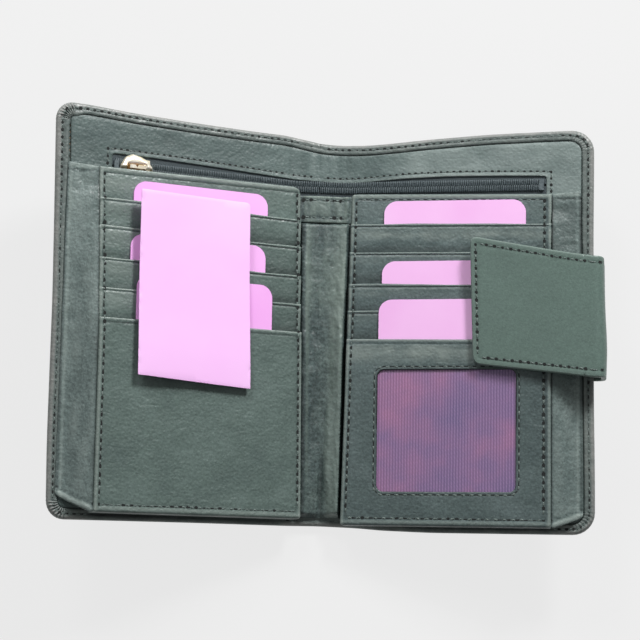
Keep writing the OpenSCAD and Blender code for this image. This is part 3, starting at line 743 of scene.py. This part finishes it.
def make_zip(side):
    end, reach, pitch = WINDOW_END[side], 1.3, 0.85
    made = []
    for low, high, tag in ((59.8, 66.5, "lower"), (67.5, 74.2, "upper")):
        loop = [(0, low), (end + 1.5, low), (end + 1.5, high), (0, high)]
        made.append(half_plate(side, "zip_tape_" + tag, loop, lambda s, y, d: 2.62 + 0.04 * np.sin(s * 1.2),
                               lambda s, y, d: 2.3 + 0 * s, TAPE, step=3.0, rings=(0.3,)))
    verts, faces = [], []
    for i in range(int((end - 1.2) / pitch)):
        for row in (1, -1):
            s = (i + (0.25 if row > 0 else 0.75)) * pitch
            apart = 0.75 * float(smooth(s, HINGE + 80, HINGE + 84)) if side < 0 else 0
            v, f = tooth(s, ZIP_Y + row * (reach + apart), 3.1, 0.6, 3.0, 0.9)
            faces += [tuple(k + len(verts) for k in q) for q in f]
            verts += [(a, b, n + 0.18 * math.cos((b - ZIP_Y - row * reach) * 1.6)) for a, b, n in v]
    v = np.array(verts)
    if side < 0:
        faces = [f[::-1] for f in faces]
    made.append(add_mesh(f"zip_coil_{TAG[side]}", PLACE[side](v[:, 0], v[:, 1], v[:, 2]), faces, [CHAIN]))
    return made


# ---- pages
# A line across a page is given by its height at the outer edge and at the spine.
PAGE_END = {-1: 97.2, 1: 96.7}
PAGE_IN = {-1: ((-88, 0, 50, 66), (-1.0, 0.1, -0.9, -1.0)), 1: ((-90, -33, 13, 64), (2.1, 3.4, 4.1, 4.4))}
PAGE_TOP = {-1: (65.3, 66.1), 1: (62.5, 63.8)}
PAGE_FOOT = {-1: (-87.9, -86.9), 1: (-89.8, -89.2)}
SLOT_EDGES = {-1: [(51.2, 50.7), (38.5, 37.8), (24.1, 24.1), (10.6, 10.8), (-2.9, -2.3)],
              1: [(48.6, 49.6), (35.4, 36.3), (20.2, 21.1), (7.8, 8.7), (-5.6, -4.7)]}
SHEET_FOOT = {-1: (-38.8, -38.8), 1: (-40.8, -40.8)}
PAGE_Z = {-1: 5.8, 1: 3.6}
LEVELS = [1.6, 2.3, 3.9, 4.6, 6.2]   # height of each sheet's lower face over the page's
SHEET, BASE_SHEET = 0.7, 0.72        # thickness of a sheet, and of the one that carries the slots
GAP = 0.9                            # room for a card
SKIN = {-1: PAGE, 1: PAGE_RIGHT}
FRONT = {-1: "front_panel_left", 1: "id_panel"}
WINDOW = (18.5, -74.0, 81.0, -19.0)
MOUTH = (50.3, 50.0, 62.4)           # top of the spine's leather, foot and top of the strip above it


def page_start(side, y):
    """The page's edge at the spine, which isn't quite straight."""
    return np.interp(y, *PAGE_IN[side])


def line_at(side, ends, u):
    return ends[0] + (ends[1] - ends[0]) * (1 - np.asarray(u, float) / PAGE_END[side])


def page_outline(side, low, high, radii, wander=None, steps=4):
    """Outline of a sheet of the page, with an upper edge that may wander."""
    end = PAGE_END[side]
    corners = [(page_start(side, low[1]), low[1]), (end, low[0]), (end, high[0])]
    if wander is not None:
        corners += [(u, line_at(side, high, u) + wander(u)) for u in np.linspace(end - 1.5, 6.5, 24)]
    radii = list(radii[:3]) + [0] * (len(corners) - 3) + [radii[3]] + [0] * 12
    corners.append((page_start(side, high[1]), high[1]))
    corners += [(page_start(side, y), y) for y in np.linspace(high[1] - 6, low[1] + 4, 12)]
    return rounded(corners, radii, steps)


def page_margin(side, u, y):
    return np.minimum(u - page_start(side, y), PAGE_END[side] - u)


def rim_level(margin):
    """The turned rim at the sides of a page, and the sunk stitch line beside it."""
    return ridges(margin, (0.1, 1.1, 0.6), (-0.16, 2.3, 0.55)) - 0.4 * roll(margin, 1.5)


# Painted highlight on the page's turned side rim and painted shade in the stitch line beside it.
def rim_light_and_shade(margin):
    return ridges(margin, (0.8, 0.8, 0.75), (-0.3, 2.3, 0.6))


def page_level(side, y):
    """Height of the page's uppermost sheet beside the spine."""
    lines = [e[1] for e in SLOT_EDGES[side]][::-1]
    return PAGE_Z[side] + SHEET + np.interp(y, lines, LEVELS[::-1]) * (y < lines[-1] + 2)


def edge_at(side, y, level):
    """Where a sheet of the page at a level ends, as measured on the leather of the spine."""
    return HINGE + page_start(side, y) * math.cos(ANGLE[side]) - (level - MID) * math.sin(ANGLE[side])


def spine_edge(side, y):
    return edge_at(side, y, PAGE_Z[side])


def seen_edge(side, y):
    return edge_at(side, y, page_level(side, y))


def tuck(side, s, y):
    """From 0 to 1 where the leather of the spine goes under the page."""
    edge = spine_edge(side, y)
    return smooth(s, np.maximum(edge - 1.8, seen_edge(side, y) - 0.2), edge + 0.2)


def spine_lumps(side, s, y):
    """The crumpled relief of the loose leather over the spine."""
    x, edge, ys = side * s, seen_edge(side, y), np.linspace(-90, 60, 31)
    inner = fade(s, edge - 0.1, np.maximum(spine_edge(side, y) - 0.8, edge + 0.6))
    level = np.interp(y, ys, page_level(side, ys))
    rise = (0.8 if side > 0 else 0.3) * (level - 5.3) * smooth(s, 2.5, edge - 1.0)
    tall = fbm(x / 3.0 + 0.25 * np.sin(y / 9), y / 19, 31) * 0.75
    knots = fbm(x / 3.4, y / 5.0, 32) * 0.36
    crinkle = (0.5 - np.abs(fbm(x / 1.9, y / 2.6, 33, 2))) * 0.3 * smooth(y, -45, 0)
    ridge = bell(x - 5.2 - 0.02 * (y + 50), 1.6) * smooth(-y, 28, 42) * fade(-y, 66, 80)
    ditch = bell(x - 2.4, 1.0) * smooth(-y, 55, 68)
    return inner * (tall + knots + crinkle + ridge - ditch + rise + 1.5)


def make_spine_leather(side):
    """The loose leather between the pages, from the middle of the spine to under one page."""
    head, foot = MOUTH[0], -85.8
    loop = [(0, foot)] + [(spine_edge(side, y) + 1.0, y) for y in np.linspace(foot, head, 14)] + [(0, head)]
    tucked = 4.6 if side < 0 else 3.54

    def top(s, y, d):
        t = tuck(side, s, y)
        return (1 - t) * (3.95 + np.clip(spine_lumps(side, s, y), -0.25, 6.0) * smooth(d, 0.1, 2)) + t * tucked

    # Painted light and shade on the spine's leather: the crests of its crumples painted light and the hollows dark,
    # lighter towards the top, a painted shadow beside the page's edge and a painted shade under the mouth strip's edge.
    def tone(s, y, d):
        edge = seen_edge(side, y)
        crest = 0.34 * (np.minimum(spine_lumps(side, s, y), 3.2) - 1.9) + 0.3 * smooth(y, -30, 25)
        shadow_by_page = 0.9 * smooth(s, edge - 2.8, edge - 0.9) if side < 0 else 0.4 * smooth(s, edge - 0.9, edge)
        return crest - shadow_by_page - 0.5 * bell(y - head, 0.9)
    return half_plate(side, "spine_leather", loop, top,
                      lambda s, y, d: np.clip(top(s, y, d) - 0.5, 3.15, 4.6), SPINE, step=0.85, rings=(0.1, 0.4),
                      tone=tone)


def make_mouth(side):
    """Turned strip over the spine at the mouth of the compartments."""
    _, foot, head = MOUTH
    loop = [(0, foot)] + [(spine_edge(side, y) + 0.7, y) for y in (foot, 56.0, head)] + [(0, head)]
    tucked, seams = 5.1 if side < 0 else 3.95, (60.5, 52.4)

    def crease(s, y):
        return 0.55 * fbm(side * s / 1.9, y / 15, 41) + 0.2 * fbm(side * s / 1.2, y / 4, 42)

    def at_seams(y):
        return sum(bell(y - line, 0.5) for line in seams)

    def top(s, y, d):
        t = tuck(side, s, y)
        n = 4.75 + 0.7 * np.maximum(1 - (s / 11) ** 2, 0) + crease(s, y) - roll(d, 0.5) - 0.25 * at_seams(y)
        return (1 - t) * np.clip(n, 4.2, 6.2) + t * tucked

    # Painted light and shade on the strip: its creases painted light and dark, a painted highlight on its rolled edge,
    # painted shade in the seams and a painted shadow beside the page's edge; the whole strip is also a little paler.
    def tone(s, y, d):
        edge = seen_edge(side, y)
        return 0.75 * crease(s, y) + 0.35 * fade(d, 0.2, 0.9) - 0.3 * at_seams(y) + 0.3 \
            - 0.6 * smooth(s, edge - 1.6, edge - 0.2)
    mouth = half_plate(side, "mouth_strip", loop, top, below(top, 0.6), SPINE, step=0.8, rings=(0.05, 0.2, 0.5),
                       tone=tone)
    last = spine_edge(side, 56) - 1.6
    return mouth, stitches(f"mouth_stitches_{TAG[side]}", [[(0.4, y), (last, y)] for y in seams],
                           SURFACE[mouth.name], PLACE[side], 2.9, 43 + side, mirror=side < 0)


def make_page_base(side):
    """The divider, on which the slots are sewn. Its rim shows above the uppermost slot."""
    base, head = PAGE_Z[side], PAGE_TOP[side]
    loop = page_outline(side, PAGE_FOOT[side], head, [1.5, 0.6, 0.6, 4.2 if side < 0 else 2.0], steps=7)

    def top(u, y, d):
        down = line_at(side, head, u) - y
        n = base + BASE_SHEET - roll(d, 0.5) + rim_level(page_margin(side, u, y))
        n = n + ridges(down, (0.12, 1.1, 0.8), (-0.24, 2.6, 0.4))
        return n + 0.12 * fbm(u / 9, y / 6, 45) * smooth(d, 1, 4) * (down < 16)

    # Painted light and shade on the divider's rim: a painted highlight on its turned top edge and painted shade in the
    # crease below, then a painted sheen in a band under it, stronger towards the left page's outer side.
    def tone(u, y, d):
        down = line_at(side, head, u) - y
        glow = rim_light_and_shade(page_margin(side, u, y)) + ridges(down, (0.95, 1.1, 0.9), (-0.9, 2.6, 0.4))
        return glow + (0.12 + 0.5 * smooth(u, 55, 80) * (side < 0)) * bell(down - 7, 4)
    return page_plate(side, f"page_base_{TAG[side]}", [loop], top, lambda u, y, d: base + 0 * u, SKIN[side], step=1.4,
                      rings=(0.05, 0.2, 0.5, 0.9, 1.4, 2.0, 2.6, 3.1), tone=tone,
                      fine=lambda y: (y > head[0] - 17) | (y < PAGE_FOOT[side][0] + 5))


def make_slot(side, k):
    """Card slot k, counted from 0, with its turned and creased upper edge."""
    base, edge = PAGE_Z[side], SLOT_EDGES[side][k]
    seed = 50 + 10 * k + side
    full = base + LEVELS[k] + SHEET
    loop = page_outline(side, SHEET_FOOT[side], edge, [0.5, 0.5, 0, 0], lambda u: 0.3 * float(noise(u / 17, k, seed)),
                        3)

    def top(u, y, d):
        down = line_at(side, edge, u) - y
        puff = 0.35 * fbm(u / 13, y / 7, seed) * smooth(d, 1, 5)
        n = full - roll(d, 0.5) - 0.24 * bell(down - 1.35, 0.35) + puff - 0.15 * smooth(down, 0, 10)
        return np.minimum(n + rim_level(page_margin(side, u, y)), full + 0.14)

    def bottom(u, y, d):
        return base + LEVELS[k] - GAP * (k % 2 == 0) * (page_margin(side, u, y) < 4)

    # Painted light and shade on a slot: a painted highlight on the turned edge, painted shade in the crease under it
    # and a second painted highlight below, a faint painted sheen band, painted shade further down; on the left page
    # painted lighter at the outer side and darker towards the spine, on the right page darker overall as painted shade,
    # with painted highlight streaks on the first slot.
    def tone(u, y, d):
        down = line_at(side, edge, u) - y
        glow = ridges(down, (0.75, 0.4, 0.4), (-0.8, 1.3, 0.36), (0.5, 2.15, 0.36))
        glow = glow + 0.2 * bell(down - 4.5, 2) * (1 + fbm(u / 14, y / 5, seed))
        if side < 0:
            glow = glow + 0.3 * smooth(u, 72, 90) * (1 - 0.5 * smooth(down, 5, 12)) - 0.2 * fade(u, 16, 34)
        else:
            glow = glow - 0.08 + 0.4 * (k == 0) * bell(down - 5.5, 2.5) * (1 + 1.2 * fbm(u / 5, y / 2.2, 66))
        return glow + rim_light_and_shade(page_margin(side, u, y)) - 0.4 * smooth(down, 9.0, 12.5)
    return page_plate(side, f"slot_{TAG[side]}_{k + 1}", [loop], top, bottom, SKIN[side], step=1.5, tone=tone,
                      rings=(0.05, 0.2, 0.45, 0.75, 1.05, 1.35, 1.7, 2.15, 2.6), fine=lambda y: y > edge[0] - 15)


def make_front(side):
    """The panel over the lower half of a page, on the right with the window's opening."""
    base, edge, foot = PAGE_Z[side], SLOT_EDGES[side][4], PAGE_FOOT[side]
    full = base + LEVELS[4] + SHEET + (0.4 if side > 0 else 0)
    hole = [box_loop(*WINDOW, 3.0)] if side > 0 else []
    hole_distance = distance_from(*hole) if hole else lambda u, y: np.full(len(u), 99.0)

    def spots(u, y):
        return line_at(side, edge, u) - y, y - line_at(side, foot, u), hole_distance(u, y)

    def top(u, y, d):
        down, up, away = spots(u, y)
        n = full - roll(d, 0.5) - 0.5 * roll(up, 1.6) + ridges(up, (0.1, 1.3, 0.7), (-0.2, 3.4, 0.55))
        n = n - 0.18 * bell(down - 2.0, 0.4) - 0.2 * bell(away - 1.5, 0.4)
        puff = 0.34 * fbm(u / 19, y / 15, 61 + side) * smooth(d, 3, 10) + 0.12 * fbm(u / 5, y / 6, 63) * smooth(d, 1, 4)
        return np.minimum(n + rim_level(page_margin(side, u, y)) + puff, full + 0.25)

    def bottom(u, y, d):
        margin = np.minimum(page_margin(side, u, y), y - foot[1])
        deep = np.where(y < SHEET_FOOT[side][0], base + BASE_SHEET, base + LEVELS[4] - GAP)
        thin = np.where(hole_distance(u, y) < 3.6, full - 0.45, full - 0.72)
        return np.where(margin < 2.4, deep, thin)

    # Painted light and shade on the front panel: painted highlights on its top edge and foot rim with painted shade in
    # the creases and stitch lines beside them, painted shade at the foot and round the window; on the right page a
    # painted sheen under the top edge, painted shade over the lower part and a painted shadow inside the window's top
    # edge.
    def tone(u, y, d):
        down, up, away = spots(u, y)
        glow = ridges(down, (0.6, 0.45, 0.5), (-0.65, 1.9, 0.4)) + ridges(up, (0.65, 1.7, 0.9), (-0.25, 3.4, 0.5))
        glow = glow - 0.25 * bell(away - 1.5, 0.5) - 0.5 * (fade(up, 0.0, 0.6) + fade(away, 0.1, 0.7))
        if side > 0:
            glow = glow + 0.6 * bell(down - 6.0, 4) * (1 + 0.9 * fbm(u / 6, y / 3, 64)) * (away > 2)
            glow = glow - 0.12 * smooth(down, 12, 20) - 0.5 * fade(away, 0.2, 0.9) * (down < 40)
        return glow + rim_light_and_shade(page_margin(side, u, y))
    return page_plate(side, FRONT[side] + "_leather", [page_outline(side, foot, edge, [1.5, 1.0, 0.5, 0.5])] + hole,
                      top, bottom, SKIN[side], step=1.6, rings=(0.05, 0.2, 0.5, 0.9, 1.4, 2.0, 2.5, 3.1), tone=tone)


def page_stitches(side):
    foot, head, tag = PAGE_FOOT[side], PAGE_TOP[side], TAG[side]
    names = [f"slot_{tag}_{k + 1}" for k in range(4)] + [FRONT[side] + "_leather"]

    def surface(u, y):
        n = SURFACE[f"page_base_{tag}"](u, y)
        for edge, name in zip(SLOT_EDGES[side], names):
            n = np.where(y < line_at(side, edge, u), SURFACE[name](u, y), n)
        return n
    outer = PAGE_END[side] - (2.3 if side < 0 else 3.3)
    inner = 1.8 if side < 0 else 2.5
    low, high = foot[1] + 3.4, head[0] - 3.2
    column = [(page_start(side, y) + inner, y) for y in np.linspace(low + 1.5, high, 12)]
    paths = [column, [(outer, foot[0] + 4.9), (outer, high)], [(column[0][0], low), (outer, foot[0] + 3.4)]]
    if side > 0:
        paths.append([(column[-1][0] + 1.5, head[1] - 2.7), (outer - 1.5, head[0] - 2.7)])
        ring = box_loop(WINDOW[0] - 1.5, WINDOW[1] - 1.5, WINDOW[2] + 1.5, WINDOW[3] + 1.5, 4.2)
        paths.append(np.concatenate([ring, ring[:1]]))
    return stitches(f"page_stitches_{tag}", paths, surface, PAGE_PLACE[side], 3.7, 71 + side, mirror=side < 0)


def make_wing(side):
    """The gusset that joins the page's outer edge to the cover's hem."""
    start, head, foot = PAGE_END[side], PAGE_TOP[side][0], PAGE_FOOT[side][0]
    lines = [e[0] for e in SLOT_EDGES[side]][::-1]
    hem_top, hem_low, low = (111.2, 111.2, -80.6) if side < 0 else (110.0, 109.8, -84.9)
    corners = [(start + 0.05, foot - 0.4), (hem_low + 0.8, low), (hem_top, head + 1.2), (start + 0.05, head - 0.2)]

    foot_distance = distance_from(np.array(corners[:2]))

    def pleat(u, y):
        if side < 0:
            return 0.5 * fbm(u / 3.4, y / 17, 81) + 0.18 * fbm(u / 6, y / 3.2, 82)
        return 0.3 * fbm(u / 4, y / 14, 83) + 0.22 * fbm(u / 7, y / 2.4, 84)

    def top(u, y, d):
        page = PAGE_Z[side] + SHEET + 0.9 * np.interp(y, lines + [lines[-1] + 6], LEVELS[::-1] + [0])
        n = page - (page - 3.95) * smooth(u, start - 1.5, 111)
        n = n + pleat(u, y) * smooth(d, 0.2, 2.5) - roll(d, 0.35) + 0.35 * bell(foot_distance(u, y) - 1.3, 0.8)
        return np.maximum(n - 0.25 * bell(head - y - 2.3, 0.4), 3.6)

    # Painted light and shade on the gusset: a painted highlight on its top band and painted shade in the line under it,
    # its pleats painted light and dark, a painted highlight on the rolled foot with painted shade along its line and
    # its edge, a painted highlight by the hem and painted shade where it meets the hem and the page; the whole wing is
    # a little paler, and the right wing darker over its upper part.
    def tone(u, y, d):
        away = foot_distance(u, y)
        glow = ridges(head - y, (0.5, 0.5, 0.9), (-0.7, 2.3, 0.45)) + 0.55 * pleat(u, y) + 0.08
        glow = glow + ridges(away, (0.8, 1.4, 1.0), (-0.6, 3.4, 0.5)) - 0.4 * fade(away, 0, 0.4)
        glow = glow + ridges(u, (0.4, hem_low - 1.5, 0.6), (-0.6, hem_low + 0.1, 0.6), (-0.8, start, 0.7))
        return glow - 0.3 * (side > 0) * smooth(y, 10, 40) * fade(y, 56, 62)
    return page_plate(side, f"wing_{TAG[side]}", [rounded(corners, [1, 2, 1, 0.5], 4)], top, below(top, 0.7, 3.25),
                      WING, step=1.1, rings=(0.05, 0.15, 0.35, 0.9, 1.6, 2.3, 2.9), tone=tone)


def make_foot(side):
    """The strip that closes the compartment's foot."""
    foot, high = PAGE_FOOT[side][1], PAGE_Z[side] - 0.02
    loop = box_loop(4.6, foot + 0.3, PAGE_END[side] - 1, foot + 3.4, 0.8, 3)
    return page_plate(side, f"compartment_foot_{TAG[side]}", [loop],
                      lambda u, y, d: high - roll(d, 0.25) * (high > 4), lambda u, y, d: 3.22 + 0 * u, PAGE,
                      step=2.0, rings=(0.1, 0.3))


# ---- strap, slider and loose card
STRAP_CUTS = [0.0, 51.0, 64.2, STRAP_END]


def strap_half_width(t, way=-1):
    bulge = 0.7 * (way > 0) * (bell(t - 57, 9) - 2 * smooth(t, 60, 66))
    return HALF_WIDTH + WIDER * (1 - np.clip(t / TAPER, 0, 1)) + bulge


def make_strap():
    """The strap in three lengths, each with its stitches."""
    made = []

    def top(t, w, d):
        n = 2 * CORE - roll(d, 0.7) - 0.13 * bell(d - 2.9, 0.45) * (t < 66)
        return n + 0.1 * fbm(t / 16, w / 14, 91) * smooth(d, 2, 8)

    # Painted light and shade on the strap: a painted highlight on its rolled edge and in a band inside it, painted
    # shade in the stitch line, and a painted highlight across the turn.
    def tone(t, w, d):
        rim = 0.1 * bell(d - 1.8, 0.6) - 0.2 * bell(d - 2.9, 0.5) * (t < 66)
        return rim + 0.22 * fade(d, 0.3, 1.2) + 0.1 * bell(t - 60, 2)
    for k, name in enumerate(["strap_tip", "strap_turn", "strap_root"]):
        low, high = STRAP_CUTS[k:k + 2]
        cuts = [STRAP_CUTS[i] for i in (1, 2) if i in (k, k + 1)]
        ts = np.linspace(low, high, 12)
        outline = [(t, -strap_half_width(t)) for t in ts] + [(t, strap_half_width(t, 1)) for t in ts[::-1]]
        first, last = (3.2 if k == 0 else 0), (2.0 if k == 2 else 0)
        loop = rounded(outline, [first] + [0] * 10 + [last, last] + [0] * 10 + [first], 6)

        def join(p, cuts=tuple(cuts)):
            return np.any([np.abs(p[:, 0] - cut) < 1e-6 for cut in cuts], axis=0)
        made.append(plate(name, [loop], strap_place, top, lambda t, w, d: roll(d, 0.7) * 0.9, STRAP, step=1.5,
                          rings=(0.06, 0.2, 0.45, 0.7, 1.4, 1.9, 2.4, 2.9), join=join, tone=tone))
        if k < 2:
            ts = np.linspace(max(low, 3.6), min(high, 57.5), 12)
            paths = [[(t, 3.3 - strap_half_width(t)) for t in ts], [(t, strap_half_width(t, 1) - 3.0) for t in ts]]
            if k == 0:
                paths.append([(2.4, -25.4), (2.4, 25.4)])
        else:
            back = STRAP_END - 2.4
            paths = [[(74, w), (back, w)] for w in (-24.6, 24.6)] + [[(back, -23.6), (back, 23.6)]]
        made.append(stitches(name + "_stitches", paths, SURFACE[name], strap_place, 3.4, 101 + k, 0.34))
    return made


def make_slider():
    """The slider's bright top plate and the shaded hollow in it."""
    body = rounded([(71.2, 63.2), (86.9, 63.2), (86.9, 67.4), (84.7, 71.2), (81.4, 72.8), (77.2, 71.8), (74.0, 70.2),
                    (71.8, 67.4)], [1, 1, 2, 2.4, 2.2, 2.6, 2.6, 1.6], 5)
    mouth = box_loop(74.7, 60.0, 84.6, 68.7, 1.2, 4)
    mouth_distance = distance_from(mouth)

    def crown(u, y, d):
        arch = 2.0 * np.sqrt(np.maximum(1 - (1 - np.minimum(d, 2.6) / 2.6) ** 2, 0))
        deep = inside(np.stack([u, y], 1), [mouth]) * smooth(mouth_distance(u, y), 0.1, 0.6)
        return 4.45 + (arch - 0.9 * deep) * smooth(y, 65.9, 66.9)

    def hollow(u, y, d):
        return 5.62 + 0.55 * bell(u - 79.6, 0.8) - roll(d, 0.2) + 0.25 * bell(d - 0.5, 0.3) - 0.4 * fade(y, 65.8, 66.4)
    return (page_plate(-1, "slider_top", [body], crown, lambda u, y, d: 3.95 + roll(d, 0.3) * 0.6, GOLD, step=0.4,
                       rings=(0.05, 0.15, 0.35, 0.7, 1.1, 1.6, 2.0, 2.4)),
            page_plate(-1, "slider_eye", [box_loop(75.3, 64.0, 84.0, 68.1, 0.9, 4)], hollow, below(hollow, 0.5),
                       SHADED_GOLD, step=0.5, rings=(0.05, 0.2, 0.5, 0.8)))


def make_loose_card():
    """The card that lies over the slot edges, with its lower end a little raised."""
    loop = rounded([(26.3, -30.3), (80.2, -27.6), (80.2, 55.3), (27.4, 54.4)], [0.4, 0.4, 0.6, 1.8], 4)

    def rest(u, y):
        return 12.95 + 2.0 * smooth(-y, -25, 30) + 1.3 * smooth(u, 40, 80)
    return page_plate(-1, "loose_card", [loop], lambda u, y, d: rest(u, y) + 0.5 - roll(d, 0.12),
                      lambda u, y, d: rest(u, y) + roll(d, 0.12), LOOSE_CARD, step=3.0, rings=(0.05, 0.15))


# ---- build
for side in (-1, 1):
    tag = TAG[side]
    cover, hem = make_cover(side)
    lining, zip_seam = make_lining(side)
    lower_tape, upper_tape, coil = make_zip(side)
    spine = make_spine_leather(side)
    mouth, mouth_seam = make_mouth(side)
    for obj, slot, *nodes in ((cover, "outer_leather", "cover_leather"), (hem, "outer_leather"),
                              (lining, "lining_leather", "lining"), (zip_seam, "lining_leather"),
                              (lower_tape, "zip_tape", "zip_tape"), (upper_tape, "zip_tape"),
                              (coil, "zip_chain", "zip_chain"), (spine, "page_leather"), (mouth, "page_leather"),
                              (mouth_seam, "page_leather")):
        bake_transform(obj)
        for name in nodes:
            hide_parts(*[f"{name}_{end}" for end in ([tag, "spine"] if side < 0 else [tag])])
    if side < 0:
        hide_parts("divider_spine")
        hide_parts("mouth_strip")
    page = [(make_page_base(side), f"divider_{tag}")]
    page += [(make_slot(side, k), f"slot_{tag}_{k + 1}") for k in range(4)]
    page += [(make_front(side), FRONT[side]), (make_wing(side), f"wing_{tag}"), (make_foot(side), f"bottom_seam_{tag}")]
    for obj, name in page:
        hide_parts(name)
    for obj in [row[0] for row in page] + [page_stitches(side)]:
        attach(obj, BODY[side])


def right_point(u, n):
    return tuple(float(x) for x in PLACE[1](np.array(HINGE + u), np.array(0.0), np.array(n)))


strap = make_strap()
links = [("strap_tab", "strap_fold", right_point(101.5, 12.45), right_point(107.5, 12.45)),
         ("strap_fold", "strap_neck", right_point(114.6, 12.6), right_point(119.6, 7.6)),
         ("strap_neck", "cover_right", right_point(119.4, 3.6), right_point(115.4, -1.2))]
for k, (first, second, start, end) in enumerate(links):
    for obj in strap[2 * k:2 * k + 2]:
        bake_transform(obj)
        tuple(start)
        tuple(end)
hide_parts("strap_tab", "strap_tab_lining")
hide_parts("strap_fold", "strap_neck")
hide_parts("strap_anchor")

for obj in make_slider():
    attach(obj, "zip_slider")
loose = make_loose_card()
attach(loose, "card_loose")
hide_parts("card_loose")

# Materials of the CAD meshes that stay, by the start of the node's name. A later row wins.
looks = {"board": BOARD, "zip_pocket": FABRIC, "magnet": MAGNET, "card": CARD, "card_left": LEFT_CARD,
         "zip_stop": CHAIN, "zip_slider": GOLD, "zip_pull": GOLD, "id_lining": SATIN, "id_film": FILM}
for name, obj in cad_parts.items():
    for start, mat in looks.items():
        if name.startswith(start):
            obj.data.materials.clear()
            obj.data.materials.append(mat)

# ---- floor, light and camera
BACKDROP, AMBIENT = 0.858, 0.21
floor_mat, shader, node, coords = new_material("floor")
cloud = node("TexNoise", coords, Scale=3.0, Detail=2.0)
paper = ramp(node, cloud, (0.3, (0.8, 0.8, 0.8)), (0.7, (0.82, 0.82, 0.82)))
node(shader, Base_Color=paper, Roughness=0.95, Specular_IOR_Level=0.0)
rays = node("LightPath").outputs
seen = node("Math", rays["Is Camera Ray"], rays["Is Glossy Ray"], operation="MAXIMUM")
seen = node("Math", seen, rays["Is Transmission Ray"], operation="MAXIMUM")
share = node("Math", seen, 0.9, operation="MULTIPLY")
glow = node("Emission", Color=(BACKDROP, BACKDROP, BACKDROP, 1))
node(floor_mat.node_tree.nodes["Material Output"], Surface=node("MixShader", share, shader, glow))
mesh = bpy.data.meshes.new("floor")
mesh.from_pydata([(-3, -3, 0), (3, -3, 0), (3, 3, 0), (-3, 3, 0)], [], [(0, 1, 2, 3)])
mesh.materials.append(floor_mat)
link_object("floor", mesh)

scene = bpy.context.scene
world = bpy.data.worlds.new("studio")
world.use_nodes = True
node = node_maker(world.node_tree)
level = node("MapRange", node("LightPath").outputs["Is Camera Ray"], 0, 1, AMBIENT, BACKDROP)
node(world.node_tree.nodes["Background"], Color=(1, 1, 1, 1), Strength=level)
scene.world = world

# Name, place in metres, width and power of each lamp. All point at the object.
for name, place, width, power in (("key", (0.44, 0.92, 0.68), 0.24, 16.3), ("second", (-0.4, 0.95, 0.72), 0.3, 7.2),
                                  ("fill", (-0.9, -0.2, 1.0), 0.9, 1.2)):
    lamp = bpy.data.lights.new(name, "AREA")
    lamp.shape, lamp.size, lamp.energy = "SQUARE", width, power
    obj = link_object(name, lamp)
    obj.location = place
    obj.rotation_euler = (-Vector(place)).to_track_quat("-Z", "Y").to_euler()

# The camera as fitted to the corners of covers and pages: focal length in pixels, turn and place.
FOCAL, PICTURE, SENSOR = 2171.015, 640, 36
turn = Matrix(((0.9954449119328529, 0.01687205415040204, 0.09383368849054516),
               (-0.030803238307203367, 0.9883472459160214, 0.14906670319023327),
               (-0.09022520610552466, -0.15127807269714064, 0.9843649510746785)))
cam = bpy.data.cameras.new("camera")
cam.sensor_width = SENSOR
cam.lens = SENSOR * FOCAL / PICTURE
cam.clip_start = 0.01
camera = link_object("camera", cam)
camera.matrix_world = Matrix.Translation((-0.08857334, -0.14581832, 0.98380624)) @ turn.transposed().to_4x4()
scene.camera = camera
scene.view_settings.view_transform = "Standard"
